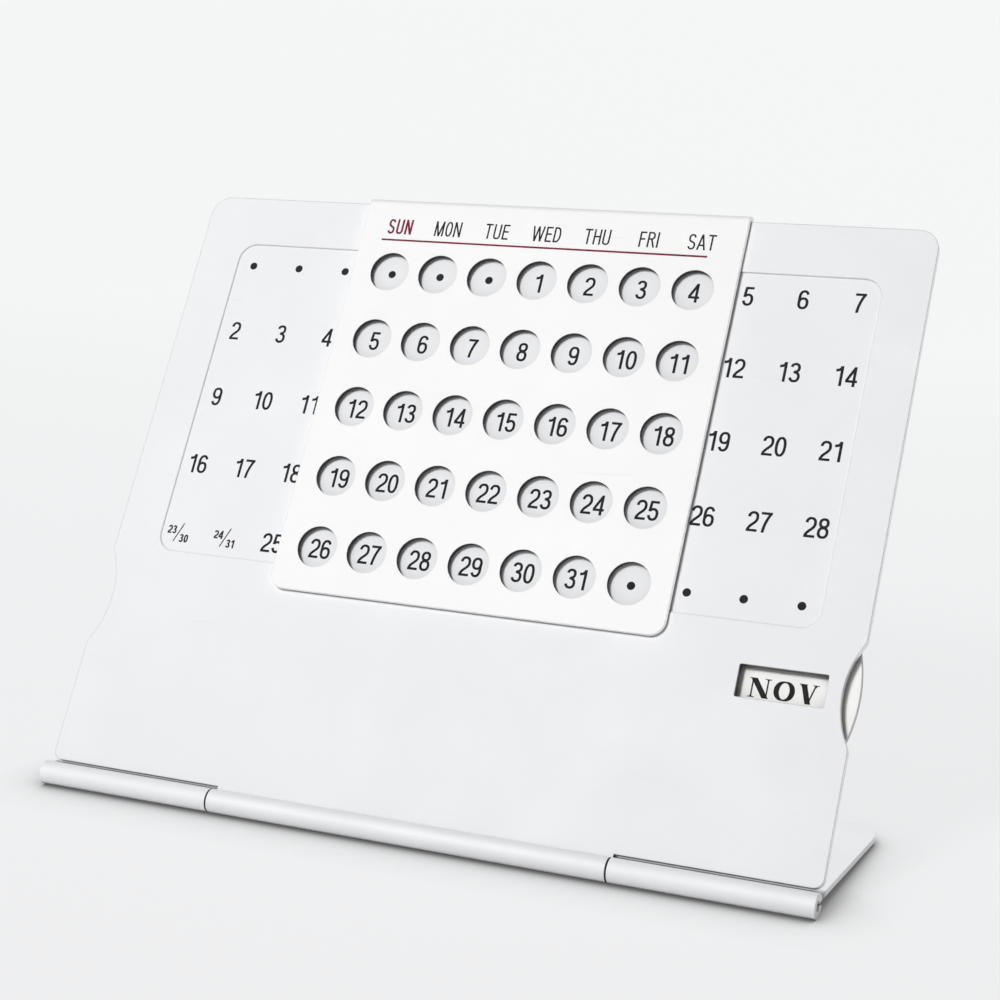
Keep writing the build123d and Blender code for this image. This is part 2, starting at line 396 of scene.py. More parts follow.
def roman_capitals(thick: float, thin: float) -> dict[str, Glyph]:
    """Bold capitals with serifs for the months.

    Args:
        thick: The width of a heavy stroke.
        thin: The width of a thin one.

    Returns:
        The letters that the months need.
    """
    half, fine = thick / 2, thin / 2
    top, foot = 1 - fine, fine
    pillar = 0.235
    pillar_ends = [foot_serif(pillar, half, 0.22, 0.21), head_serif(pillar, half, 0.22, 0.21)]
    upright = stem((pillar, 0), (pillar, 1))
    high_bowl = turn(
        [(pillar, top), (0.44, top)],
        bow((0.45, 0.735), (0.40 - half, 0.265 - fine), 88, -88, 2.1),
        [(0.44, 0.47 + fine), (pillar, 0.47 + fine)],
    )
    round_left = bow((0.52, 0.5), (0.52 - half, 0.5 - fine), 52, 308, 2.05)
    return {
        "A": Glyph(
            1.02,
            [hair((0.15, 0), (0.475, 1)), stem((0.80, 0), (0.475, 1)), hair((0.26, 0.31), (0.70, 0.31))],
            [foot_serif(0.15, fine, 0.14, 0.16), foot_serif(0.80, half, 0.22, 0.21)],
        ),
        "B": Glyph(
            0.90,
            [
                upright,
                turn(
                    [(pillar, top), (0.42, top)],
                    bow((0.43, 0.76), (0.37 - half, 0.24 - fine), 88, -88, 2.1),
                    [(0.42, 0.52 + fine), (pillar, 0.52 + fine)],
                ),
                turn(
                    [(pillar, 0.55 - fine), (0.45, 0.55 - fine)],
                    bow((0.46, 0.275), (0.42 - half, 0.275 - fine), 88, -88, 2.1),
                    [(0.45, foot), (pillar, foot)],
                ),
            ],
            [foot_serif(pillar, half, 0.22, 0.12), head_serif(pillar, half, 0.22, 0.12)],
        ),
        "C": Glyph(
            0.94,
            [turn(round_left), hair((0.855, 0.64), (0.855, 1))],
            [beak(0.87, 1, -0.30, 0.12)],
        ),
        "D": Glyph(
            0.98,
            [
                upright,
                turn(
                    [(pillar, top), (0.42, top)],
                    bow((0.44, 0.5), (0.52 - half, 0.5 - fine), 88, -88, 2.1),
                    [(0.42, foot), (pillar, foot)],
                ),
            ],
            [foot_serif(pillar, half, 0.22, 0.12), head_serif(pillar, half, 0.22, 0.12)],
        ),
        "E": Glyph(
            0.90,
            [
                upright,
                hair((pillar, top), (0.82, top)),
                hair((pillar, 0.51), (0.58, 0.51)),
                hair((pillar, foot), (0.86, foot)),
                hair((0.58, 0.36), (0.58, 0.66)),
            ],
            [*pillar_ends, beak(0.83, 1, -0.27), beak(0.88, 0, 0.30, 0.16)],
        ),
        "F": Glyph(
            0.86,
            [
                upright,
                hair((pillar, top), (0.80, top)),
                hair((pillar, 0.50), (0.58, 0.50)),
                hair((0.58, 0.35), (0.58, 0.65)),
            ],
            [*pillar_ends, beak(0.83, 1, -0.30)],
        ),
        "G": Glyph(
            1.06,
            [turn(round_left), hair((0.855, 0.68), (0.855, 1)), stem((0.84, 0.07), (0.84, 0.42))],
            [
                beak(0.87, 1, -0.26, 0.12),
                [(0.62, 0.40), (1.04, 0.40), (1.04, 0.44), (0.62, 0.44)],
            ],
        ),
        "J": Glyph(
            0.72,
            [
                Stroke(
                    Weight.FADE,
                    [(0.44, 1), (0.44, 0.26), *bow((0.25, 0.24), (0.19, 0.24 - fine), 0, -150, 2.0)],
                )
            ],
            [head_serif(0.44, half, 0.23, 0.22), bow((0.13, 0.13), (0.10, 0.10), 0, 345, 2.0)],
        ),
        "L": Glyph(
            0.90,
            [upright, hair((pillar, foot), (0.86, foot))],
            [*pillar_ends, beak(0.88, 0, 0.34, 0.18)],
        ),
        "M": Glyph(
            1.36,
            [
                hair((0.18, 0), (0.18, 1)),
                stem((0.27, 1), (0.66, 0)),
                hair((0.66, 0.04), (1.06, 1)),
                stem((1.13, 0), (1.13, 1)),
            ],
            [
                foot_serif(0.18, fine, 0.16, 0.16),
                head_serif(0.20, half, 0.18, 0.10),
                foot_serif(1.13, half, 0.22, 0.21),
                head_serif(1.15, half, 0.10, 0.20),
            ],
        ),
        "N": Glyph(
            1.14,
            [hair((0.18, 0), (0.18, 1)), stem((0.22, 1), (0.92, 0)), hair((0.96, 0), (0.96, 1))],
            [
                foot_serif(0.18, fine, 0.17, 0.17),
                head_serif(0.15, fine, 0.14, 0.17),
                head_serif(0.96, fine, 0.17, 0.17),
            ],
        ),
        "O": Glyph(
            1.08,
            loop((0.54, 0.5), (0.54 - half, 0.5 - fine), 2.05),
        ),
        "P": Glyph(0.86, [upright, high_bowl], pillar_ends),
        "R": Glyph(
            1.02,
            [upright, high_bowl, stem((0.46, 0.50), (0.82, 0))],
            [*pillar_ends, foot_serif(0.84, half, 0.10, 0.17)],
        ),
        "S": Glyph(
            0.74,
            [
                Stroke(
                    Weight.SPINE,
                    [
                        *bow((0.35, 0.73), (0.27, 0.27 - fine), 28, 205, 2.0),
                        *bow((0.37, 0.285), (0.29, 0.285 - fine), 40, -155, 2.0),
                    ],
                ),
                hair((0.62, 0.68), (0.62, 1)),
                hair((0.07, 0), (0.07, 0.35)),
            ],
        ),
        "T": Glyph(
            0.92,
            [stem((0.46, 0), (0.46, 1)), hair((0.04, top), (0.88, top))],
            [foot_serif(0.46, half, 0.21, 0.21), beak(0.91, 1, -0.28), beak(0.01, 1, -0.28, -0.13)],
        ),
        "U": Glyph(
            1.02,
            [
                stem((0.25, 1), (0.25, 0.33)),
                Stroke(Weight.FADE, bow((0.53, 0.34), (0.28, 0.34 - fine), 182, 360, 2.2)),
                hair((0.81, 0.33), (0.81, 1)),
            ],
            [head_serif(0.25, half, 0.22, 0.21), head_serif(0.81, fine, 0.17, 0.17)],
        ),
        "V": Glyph(
            1.06,
            [stem((0.24, 1), (0.57, 0)), hair((0.58, 0.06), (0.85, 1))],
            [head_serif(0.24, half, 0.22, 0.20), head_serif(0.86, fine, 0.17, 0.17)],
        ),
        "Y": Glyph(
            1.04,
            [stem((0.22, 1), (0.52, 0.46)), hair((0.54, 0.44), (0.83, 1)), stem((0.53, 0), (0.53, 0.52))],
            [
                head_serif(0.22, half, 0.20, 0.20),
                head_serif(0.84, fine, 0.17, 0.16),
                foot_serif(0.53, half, 0.22, 0.21),
            ],
        ),
    }


def clip(outline: Path, level: float, keep_above: bool) -> Path:
    """Cut an outline at a level line.

    Args:
        outline: A closed outline.
        level: The height of the line.
        keep_above: Whether the part above the line is kept, or else the part below.

    Returns:
        The outline that is left.
    """
    sign = 1 if keep_above else -1
    kept = []
    for (ax, ay), (bx, by) in zip(outline, outline[1:] + outline[:1]):
        a_in, b_in = sign * (ay - level) >= 0, sign * (by - level) >= 0
        if a_in:
            kept.append((ax, ay))
        if a_in != b_in:
            share = (level - ay) / (by - ay)
            kept.append((ax + share * (bx - ax), level))
    return kept


def area_of(outline: Path) -> float:
    """The area of a closed outline, positive if it runs anticlockwise."""
    return sum(ax * by - bx * ay for (ax, ay), (bx, by) in zip(outline, outline[1:] + outline[:1])) / 2


@dataclass(frozen=True)
class Patch:
    """A flat inked patch: its points in millimetres and its triangles."""

    points: Path
    triangles: list[tuple[int, ...]]

    def moved(self, x: float, y: float, turned: float = 0.0) -> "Patch":
        """The patch turned about the origin by degrees, and then moved."""
        c, s = math.cos(math.radians(turned)), math.sin(math.radians(turned))
        return Patch([(x + c * px - s * py, y + s * px + c * py) for px, py in self.points], self.triangles)


def merged(outlines: list[Path]) -> Patch:
    """Merge outlines that overlap into one patch.

    Args:
        outlines: Closed outlines, in millimetres.

    Returns:
        The patch that they cover together.
    """
    points, faces = [], []
    for outline in outlines:
        ordered = outline if area_of(outline) > 0 else outline[::-1]
        first = len(points)
        points += [Vector(p) for p in ordered]
        faces.append(list(range(first, len(points))))
    inside_only, tolerance = 1, 1e-6
    found = delaunay_2d_cdt(points, [], faces, inside_only, tolerance)
    corners, triangles, owners = found[0], found[2], found[5]
    inked = [tuple(t) for t, outlines_over in zip(triangles, owners) if outlines_over]
    return Patch([tuple(p) for p in corners], inked)


@dataclass(frozen=True)
class Typeface:
    """A set of drawn characters at one size and weight.

    Args:
        cap_height: The height of a capital or figure, in millimetres.
        heavy: The width of a full stroke, in cap heights.
        fine: The width of a thin stroke, in cap heights.
        gap: The space between two characters, in cap heights.
        glyphs: The drawn characters.
    """

    cap_height: float
    heavy: float
    fine: float
    gap: float
    glyphs: dict[str, Glyph]

    def half_widths(self, stroke: Stroke) -> list[float]:
        """Half the pen's width at each point of a stroke."""
        full, thin = self.heavy / 2, self.fine / 2
        count = len(stroke.path)
        halves = []
        for index in range(count):
            before, after = stroke.path[max(index - 1, 0)], stroke.path[min(index + 1, count - 1)]
            length = math.dist(before, after) or 1.0
            share = index / (count - 1)
            press = {
                Weight.STEM: 1.0,
                Weight.HAIR: 0.0,
                Weight.TURN: (abs(after[1] - before[1]) / length) ** TURN_SWELL,
                Weight.SPINE: math.sin(math.pi * share) ** 2,
                Weight.FADE: 1 - share**2,
            }[stroke.weight]
            halves.append(thin + (full - thin) * press)
        return halves

    def ribbon(self, stroke: Stroke) -> Path:
        """The closed outline of a stroke, cut flat where it meets the baseline or the cap line."""
        path = list(stroke.path)
        for end, inner in ((0, 1), (-1, -2)):
            x, y = path[end]
            if y in (0, 1):
                away = Vector(path[end]) - Vector(path[inner])
                path[end] = tuple(Vector(path[end]) + away.normalized() * self.heavy)
        halves = self.half_widths(Stroke(stroke.weight, path))
        left, right = [], []
        for index, (x, y) in enumerate(path):
            before, after = path[max(index - 1, 0)], path[min(index + 1, len(path) - 1)]
            length = math.dist(before, after)
            dx, dy = (after[0] - before[0]) / length, (after[1] - before[1]) / length
            left.append((x - dy * halves[index], y + dx * halves[index]))
            right.append((x + dy * halves[index], y - dx * halves[index]))
        return clip(clip(left + right[::-1], 0, True), 1, False)

    def patch(self, character: str) -> Patch:
        """The inked patch of one character, with its left foot at the origin."""
        glyph = self.glyphs[character]
        outlines = [self.ribbon(s) for s in glyph.strokes] + glyph.outlines
        scaled = [[(x * self.cap_height, y * self.cap_height) for x, y in o] for o in outlines]
        return merged(scaled)

    def word(self, text: str, x: float, y: float, turned: float = 0.0) -> list[Patch]:
        """Set a word about a point.

        Args:
            text: The characters.
            x: The middle of the word.
            y: The middle of its height.
            turned: How far the word is turned about the origin before it is moved, in degrees.

        Returns:
            A patch for each character.
        """
        length = sum(self.glyphs[c].width for c in text) + self.gap * (len(text) - 1)
        patches, along = [], -length / 2
        for character in text:
            placed = self.patch(character).moved(along * self.cap_height, -self.cap_height / 2)
            patches.append(placed.moved(x, y, turned))
            along += self.glyphs[character].width + self.gap
        return patches


def figures_at(cap_height: float, weight: float) -> Typeface:
    """The date figures at a size and weight."""
    return Typeface(cap_height, weight, weight * FIGURE_THINNING, FIGURE_GAP, narrow_figures(weight))


def capitals_at(cap_height: float, weight: float, gap: float) -> Typeface:
    """The weekday capitals at a size, weight and spacing."""
    return Typeface(cap_height, weight, weight, gap, narrow_capitals(weight))


def round_dot(diameter: float, x: float, y: float) -> Patch:
    """A printed dot."""
    return merged([[(x + px, y + py) for px, py in bow((0, 0), (diameter / 2,) * 2, 0, 350, 2.0)]])


def bar(left: float, right: float, y: float, thickness: float) -> Patch:
    """A printed level rule."""
    low, high = y - thickness / 2, y + thickness / 2
    return merged([[(left, low), (right, low), (right, high), (left, high)]])


# ---------------------------------------------------------------------------
# Planes and inked pieces
# ---------------------------------------------------------------------------


def joint_named(name: str) -> dict[str, object]:
    """A joint of the frame."""
    return next(joint for joint in frame["joints"] if joint["name"] == name)


@dataclass(frozen=True)
class FacePlane:
    """The face's own axes: x along the hinge, v up the face and w out towards the reader."""

    origin: Vector
    right: Vector
    up: Vector
    normal: Vector

    @classmethod
    def from_frame(cls) -> "FacePlane":
        """Read the plane off the joints: the fold is its origin, the disc's axle its normal."""
        fold, axle = joint_named("face_fold"), joint_named("month_turn")
        normal = Vector(axle["axis"]).normalized()
        right = Vector(fold["axis"]).normalized()
        return cls(Vector(fold["pos_m"]), right, normal.cross(right), normal)

    def place(self, x: float, v: float, w: float) -> Vector:
        """A point given in millimetres on the face, in metres in the frame."""
        return self.origin + (self.right * x + self.up * v + self.normal * w) * MM

    def locate(self, point: Vector) -> Vector:
        """A point of the frame, as x, v and w in millimetres on the face."""
        away = (point - self.origin) / MM
        return Vector((away.dot(self.right), away.dot(self.up), away.dot(self.normal)))

    def front_of(self, node: str) -> float:
        """How far a node reaches towards the reader, in millimetres."""
        return max(self.locate(v.co).z for v in frame["nodes"][node].data.vertices)


@dataclass(frozen=True)
class InkLayer:
    """A film of printing ink on a flat surface, sunk a hair into it so that no faces coincide."""

    stands_proud: float = 0.02
    sinks_in: float = 0.01

    def piece(self, name: str, patches: list[Patch], plane: FacePlane, surface: float) -> bpy.types.Object:
        """Make the inked patches one thin closed piece.

        Args:
            name: The piece's name.
            patches: What is printed, in millimetres on the face.
            plane: The face's axes.
            surface: The height of the printed surface.

        Returns:
            The piece.
        """
        points, faces = [], []
        for patch in patches:
            count, first = len(patch.points), len(points)
            for height in (surface - self.sinks_in, surface + self.stands_proud):
                points += [plane.place(x, y, height) for x, y in patch.points]
            edges = {(t[i], t[(i + 1) % len(t)]) for t in patch.triangles for i in range(len(t))}
            for t in patch.triangles:
                faces.append([first + count + i for i in t])
                faces.append([first + i for i in reversed(t)])
            for a, b in sorted(edges):
                if (b, a) not in edges:
                    faces.append([first + a, first + b, first + count + b, first + count + a])
        mesh = bpy.data.meshes.new(name)
        mesh.from_pydata(points, [], faces)
        mesh.validate()
        mesh.update()
        piece = bpy.data.objects.new(name, mesh)
        bpy.context.scene.collection.objects.link(piece)
        return piece


# ---------------------------------------------------------------------------
# Finishes
# ---------------------------------------------------------------------------

Socket = bpy.types.NodeSocket
Value = Socket | Vector | float | tuple[float, ...]
Inputs = dict[str | int, Value]
Setting = bpy.types.NodeTree | str | int

NUMBER, VECTOR = "NodeSocketFloat", "NodeSocketVector"
# The dark colour of painted shade: in narrow gaps, and beside the hinge's roll.
PAINTED_SHADE_COLOUR = (0.02, 0.02, 0.02)
GRAIN_HEIGHTS = (0.3, 0.9)
OFF_TO_ON = (0.0, 1.0)


def shade(colour: Colour, level: float) -> Colour:
    """A colour made darker or lighter by a level, up to white."""
    return tuple(min(1.0, channel * level) for channel in colour)


class Sheet:
    """A node tree with short ways to add nodes and to join them."""

    def __init__(self, tree: bpy.types.NodeTree) -> None:
        """Work on a node tree."""
        self.tree = tree

    def fill(self, socket: Socket, value: Value) -> None:
        """Join a socket to a node's output, or set it.

        Args:
            socket: The socket that gets the value.
            value: A node's output, or a plain value.
        """
        if isinstance(value, Socket):
            self.tree.links.new(value, socket)
        else:
            socket.default_value = value

    def add(self, kind: str, inputs: Inputs | None = None, **settings: Setting) -> bpy.types.Node:
        """Add a node.

        Args:
            kind: The node's type, without its ShaderNode prefix.
            inputs: Values for its sockets, or sockets to join to them.
            **settings: Values for its properties.

        Returns:
            The node.
        """
        node = self.tree.nodes.new(kind if kind.startswith("Node") else "ShaderNode" + kind)
        for key, value in settings.items():
            setattr(node, key, value)
        for key, value in (inputs or {}).items():
            self.fill(node.inputs[key], value)
        return node

    def effect(self, group: bpy.types.NodeTree, inputs: Inputs) -> bpy.types.Node:
        """Place an effect's group with its own values."""
        return self.add("Group", inputs, node_tree=group)

    def spot(self) -> Socket:
        """The place on the piece, in metres, which moves with the piece."""
        return self.add("TexCoord").outputs["Object"]

    def math(self, operation: str, a: Value, b: Value = 0.0) -> Socket:
        """The result of a sum on two numbers."""
        return self.add("Math", {0: a, 1: b}, operation=operation).outputs[0]

    def vector(self, operation: str, a: Value, b: Value) -> Socket:
        """The vector that an operation makes of two."""
        return self.add("VectorMath", {0: a, 1: b}, operation=operation).outputs["Vector"]

    def measure(self, operation: str, *vectors: Value) -> Socket:
        """The number that an operation makes of one vector or two."""
        return self.add("VectorMath", dict(enumerate(vectors)), operation=operation).outputs["Value"]

    def scaled(self, vector: Value, share: Value) -> Socket:
        """A vector made longer or shorter."""
        return self.add("VectorMath", {0: vector, "Scale": share}, operation="SCALE").outputs["Vector"]

    def ramp(self, value: Value, ends: Point, levels: Point = OFF_TO_ON) -> Socket:
        """Spread the stretch between two ends over two levels, and hold the levels outside it.

        Args:
            value: What is spread.
            ends: Where the first level and the last are reached.
            levels: The two levels.

        Returns:
            The level that the value comes to.
        """
        spread = {"From Min": ends[0], "From Max": ends[1], "To Min": levels[0], "To Max": levels[1]}
        return self.add("MapRange", {"Value": value, **spread}).outputs[0]

    def mix(self, share: Value, a: Value, b: Value) -> Socket:
        """Mix two colours.

        Args:
            share: How much of the second colour shows.
            a: The first colour.
            b: The second colour.

        Returns:
            The mixed colour.
        """
        node = self.add("Mix", {"Factor": share}, data_type="RGBA")
        for index, value in ((6, a), (7, b)):
            self.fill(node.inputs[index], value if isinstance(value, Socket) else (*value, 1.0))
        return node.outputs[2]

    def blend(self, share: Value, a: Value, b: Value) -> Socket:
        """Mix two numbers by a share."""
        return self.add("Mix", {"Factor": share, "A": a, "B": b}, data_type="FLOAT").outputs[0]


class EffectSheet(Sheet):
    """A new shader node group, with named inputs and outputs."""

    def __init__(self, name: str, inputs: dict[str, tuple[str, Value]], outputs: dict[str, str]) -> None:
        """Start the group.

        Args:
            name: The effect's name.
            inputs: For each input, its socket's kind and first value.
            outputs: For each output, its socket's kind.
        """
        super().__init__(bpy.data.node_groups.new(name, "ShaderNodeTree"))
        for label, (kind, value) in inputs.items():
            socket = self.tree.interface.new_socket(label, in_out="INPUT", socket_type=kind)
            socket.default_value = value
        for label, kind in outputs.items():
            self.tree.interface.new_socket(label, in_out="OUTPUT", socket_type=kind)
        self.entry = self.add("NodeGroupInput")
        self.exit = self.add("NodeGroupOutput")

    def given(self, label: str) -> Socket:
        """The value of one of the group's inputs."""
        return self.entry.outputs[label]

    def give(self, label: str, value: Socket) -> None:
        """Send a value out of the group."""
        self.fill(self.exit.inputs[label], value)


class Effects:
    """The effects that several finishes share, each a node group that is built once."""

    def __init__(self) -> None:
        """Build the groups."""
        self.blasted_grain = self.build_blasted_grain()
        self.soft_edge = self.build_soft_edge()
        self.handling = self.build_handling()
        self.cut_side = self.build_cut_side()
        self.region = self.build_region()
        self.crevice = self.build_crevice()

    @staticmethod
    def build_blasted_grain() -> bpy.types.NodeTree:
        """The fine pebbled grain of a blasted or matt-coated surface.

        Returns:
            A group that makes the grain's height and a broad cloudy mottle.
        """
        sheet = EffectSheet(
            "blasted_grain",
            {"Grain Size": (NUMBER, 0.0002), "Mottle Size": (NUMBER, 0.02)},
            {"Height": NUMBER, "Mottle": NUMBER},
        )
        pit_fineness, pit_share = 0.6, 0.6
        spot = sheet.spot()
        fine = sheet.math("DIVIDE", 1.0, sheet.given("Grain Size"))
        grain = sheet.add("TexNoise", {"Vector": spot, "Scale": fine, "Detail": 2.0, "Roughness": 0.6})
        pits = sheet.add("TexVoronoi", {"Vector": spot, "Scale": sheet.math("MULTIPLY", fine, pit_fineness)})
        sunk = sheet.math("MULTIPLY", pits.outputs["Distance"], pit_share)
        broad = sheet.math("DIVIDE", 1.0, sheet.given("Mottle Size"))
        mottle = sheet.add("TexNoise", {"Vector": spot, "Scale": broad, "Detail": 4.0, "Roughness": 0.55})
        sheet.give("Height", sheet.math("ADD", grain.outputs[0], sunk))
        sheet.give("Mottle", sheet.ramp(mottle.outputs[0], (0.35, 0.65)))
        return sheet.tree

    @staticmethod
    def build_soft_edge() -> bpy.types.NodeTree:
        """The broken corner of a pressed edge, and a patchy mask of its corners, which carries the wear of
        hands and use on some finishes and painted edge shade on sheet metal.

        Returns:
            A group that makes the rounded normal and a mask of the corners for wear and painted edge shade.
        """
        sheet = EffectSheet(
            "soft_edge",
            {"Width": (NUMBER, 0.0001), "Patchiness": (NUMBER, 0.5)},
            {"Normal": VECTOR, "Rubbed": NUMBER},
        )
        corner = sheet.add("Bevel", {"Radius": sheet.given("Width")}, samples=4).outputs[0]
        facing = sheet.add("NewGeometry").outputs["Normal"]
        rim = sheet.ramp(sheet.measure("DOT_PRODUCT", corner, facing), (0.99, 0.8))
        patches = sheet.add("TexNoise", {"Vector": sheet.spot(), "Scale": 160.0, "Detail": 5.0})
        worn_and_shaded = sheet.ramp(patches.outputs[0], (0.42, 0.62))
        held_back = sheet.math("MULTIPLY", sheet.given("Patchiness"), sheet.math("SUBTRACT", 1.0, worn_and_shaded))
        sheet.give("Normal", corner)
        sheet.give("Rubbed", sheet.math("MULTIPLY", rim, sheet.math("SUBTRACT", 1.0, held_back)))
        return sheet.tree

    @staticmethod
    def build_handling() -> bpy.types.NodeTree:
        """Faint finger smears and hairline scuffs.

        Returns:
            A group that makes a mask of each.
        """
        sheet = EffectSheet(
            "handling",
            {"Smear Size": (NUMBER, 0.03), "Scuff Density": (NUMBER, 0.5)},
            {"Smear": NUMBER, "Scuff": NUMBER},
        )
        scuff_run, scuff_across = 60.0, 900.0
        rarest, density_step = 0.78, 0.06
        spot = sheet.spot()
        broad = sheet.math("DIVIDE", 1.0, sheet.given("Smear Size"))
        smear = sheet.add("TexNoise", {"Vector": spot, "Scale": broad, "Detail": 3.0, "Distortion": 1.2})
        drawn_out = sheet.add(
            "Mapping",
            {"Vector": spot, "Rotation": (0.3, 0.5, 0.7), "Scale": (scuff_run, scuff_across, scuff_across)},
        )
        lines = sheet.add(
            "TexNoise",
            {"Vector": drawn_out.outputs[0], "Scale": 1.0, "Detail": 1.0, "Distortion": 0.4},
        )
        where = sheet.add("TexNoise", {"Vector": spot, "Scale": 45.0, "Detail": 2.0})
        thinned = sheet.math("MULTIPLY", sheet.given("Scuff Density"), density_step)
        line = sheet.math("GREATER_THAN", lines.outputs[0], sheet.math("SUBTRACT", rarest, thinned))
        sheet.give("Smear", sheet.ramp(smear.outputs[0], (0.5, 0.75)))
        sheet.give("Scuff", sheet.math("MULTIPLY", line, sheet.ramp(where.outputs[0], (0.5, 0.65))))
        return sheet.tree

    @staticmethod
    def build_cut_side() -> bpy.types.NodeTree:
        """Where a surface is the cut side of a sheet and not one of its two faces.

        Where the sheet is rolled only its ends are cut, so there only the direction along
        the roll counts.

        Returns:
            A group that makes a mask of the cut sides, a mask of the rolled part, and the
            distance from the roll's axis.
        """
        sheet = EffectSheet(
            "cut_side",
            {
                "Sheet Normal": (VECTOR, (0.0, 0.0, 1.0)),
                "Roll Axis": (VECTOR, (0.0, 0.0, 0.0)),
                "Roll Radius": (NUMBER, 0.0),
            },
            {"Mask": NUMBER, "Rolled": NUMBER, "Reach": NUMBER},
        )
        turned_away, off_axis = 0.6, (0.0, 1.0, 1.0)
        place = sheet.add("TexCoord")
        facing = place.outputs["Normal"]
        flat_side = sheet.math("ABSOLUTE", sheet.measure("DOT_PRODUCT", facing, sheet.given("Sheet Normal")))
        sideways = sheet.math("ABSOLUTE", sheet.add("SeparateXYZ", {0: facing}).outputs["X"])
        away = sheet.vector("SUBTRACT", place.outputs["Object"], sheet.given("Roll Axis"))
        reach = sheet.measure("LENGTH", sheet.vector("MULTIPLY", away, off_axis))
        rolled = sheet.math("LESS_THAN", reach, sheet.given("Roll Radius"))
        on_leaf = sheet.math("LESS_THAN", flat_side, turned_away)
        on_end = sheet.math("GREATER_THAN", sideways, turned_away)
        sheet.give("Mask", sheet.blend(rolled, on_leaf, on_end))
        sheet.give("Rolled", rolled)
        sheet.give("Reach", reach)
        return sheet.tree

    @staticmethod
    def build_region() -> bpy.types.NodeTree:
        """A rectangle on a sheet, in the sheet's own directions.

        Returns:
            A group that makes a mask of what lies inside the rectangle.
        """
        sheet = EffectSheet(
            "region",
            {
                "Middle": (VECTOR, (0.0, 0.0, 0.0)),
                "Right": (VECTOR, (1.0, 0.0, 0.0)),
                "Up": (VECTOR, (0.0, 0.0, 1.0)),
                "Half Width": (NUMBER, 0.05),
                "Half Height": (NUMBER, 0.05),
            },
            {"Inside": NUMBER},
        )
        away = sheet.vector("SUBTRACT", sheet.spot(), sheet.given("Middle"))
        within = []
        for direction, size in (("Right", "Half Width"), ("Up", "Half Height")):
            along = sheet.measure("DOT_PRODUCT", away, sheet.given(direction))
            within.append(sheet.math("LESS_THAN", sheet.math("ABSOLUTE", along), sheet.given(size)))
        sheet.give("Inside", sheet.math("MULTIPLY", *within))
        return sheet.tree

    @staticmethod
    def build_crevice() -> bpy.types.NodeTree:
        """Narrow gaps, found by ambient occlusion, which get painted shade.

        Returns:
            A group that makes a mask of the gaps.
        """
        sheet = EffectSheet("crevice", {"Reach": (NUMBER, 0.001)}, {"Depth": NUMBER})
        open_sky = sheet.add("AmbientOcclusion", {"Distance": sheet.given("Reach")}, samples=5)
        sheet.give("Depth", sheet.ramp(open_sky.outputs["AO"], (0.55, 0.15)))
        return sheet.tree


@dataclass(frozen=True)
class Wear:
    """How a grained surface has clouded and been handled, and how much shade is painted in its narrow gaps.

    Args:
        mottle_size: The size of its cloudy patches, in metres.
        mottle_level: How bright the darkest patch is, of the plain colour.
        patchiness: How unevenly its corners show their rubbing and, on sheet metal, their painted edge
            shade.
        smear_size: The size of the finger smears, in metres.
        smear_gloss: How much less rough a smear is.
        scuff_density: How many scuffs there are.
        scuff_share: How much a scuff shows.
        gap_reach: How far into the open a gap looks, in metres, before it counts as narrow.
        gap_dust: How much of the painted shade's dark colour shows in a narrow gap.
        grain_strength: How strongly the grain stands out.
    """

    mottle_size: float
    mottle_level: float
    patchiness: float
    smear_size: float
    smear_gloss: float
    scuff_density: float
    scuff_share: float
    gap_reach: float
    gap_dust: float = 0.92
    grain_strength: float = 0.6


SHEET_WEAR = Wear(
    mottle_size=0.018,
    mottle_level=0.98,
    patchiness=0.3,
    smear_size=0.035,
    smear_gloss=0.05,
    scuff_density=0.4,
    scuff_share=0.04,
    gap_reach=0.0012,
)
PLASTIC_WEAR = Wear(
    mottle_size=0.01,
    mottle_level=0.95,
    patchiness=0.8,
    smear_size=0.015,
    smear_gloss=0.08,
    scuff_density=0.6,
    scuff_share=0.12,
    gap_reach=0.0026,
)


class HandledSurface:
    """A grained surface with the wear of hands, and painted shade in its narrow gaps, on one material's
    sheet.
    """

    def __init__(
        self, sheet: Sheet, effects: Effects, grain_size: float, edge_width: float, wear: Wear
    ) -> None:
        """Place the shared effects.

        Args:
            sheet: The material's sheet.
            effects: The shared effects.
            grain_size: The size of the grain, in metres.
            edge_width: The width of the softened corners, in metres.
            wear: How the surface has been handled.
        """
        self.sheet = sheet
        self.wear = wear
        self.grain = sheet.effect(
            effects.blasted_grain, {"Grain Size": grain_size, "Mottle Size": wear.mottle_size}
        )
        self.edge = sheet.effect(effects.soft_edge, {"Width": edge_width, "Patchiness": wear.patchiness})
        self.marks = sheet.effect(
            effects.handling, {"Smear Size": wear.smear_size, "Scuff Density": wear.scuff_density}
        )
        # The narrow gaps, where shade is painted.
        self.gap = sheet.effect(effects.crevice, {"Reach": wear.gap_reach})

    def scuffed(self, tone: Socket, bare: Colour) -> Socket:
        """A tone with the bare colour in its scuffs."""
        share = self.sheet.math("MULTIPLY", self.marks.outputs["Scuff"], self.wear.scuff_share)
        return self.sheet.mix(share, tone, bare)

    def rubbed(self, tone: Socket, bare: Colour, most: Value) -> Socket:
        """A tone with at most a share of another colour on its corners: the plastic's rubbing colour, and on
        sheet metal its rim colour as painted edge shade.
        """
        return self.sheet.mix(self.sheet.math("MULTIPLY", self.edge.outputs["Rubbed"], most), tone, bare)

    def dust(self) -> Socket:
        """How much painted shade shows in the narrow gaps."""
        return self.sheet.math("MULTIPLY", self.gap.outputs["Depth"], self.wear.gap_dust)

    def smoothing(self) -> Socket:
        """What smears add to the roughness, which is less than nothing."""
        return self.sheet.math("MULTIPLY", self.marks.outputs["Smear"], -self.wear.smear_gloss)

    def normal(self, depth: float) -> Socket:
        """The direction of the surface, with grain of a depth over softened corners."""
        strength = self.wear.grain_strength
        relief = {"Height": self.grain.outputs["Height"], "Distance": depth, "Strength": strength}
        return self.sheet.add("Bump", {**relief, "Normal": self.edge.outputs["Normal"]}).outputs[0]


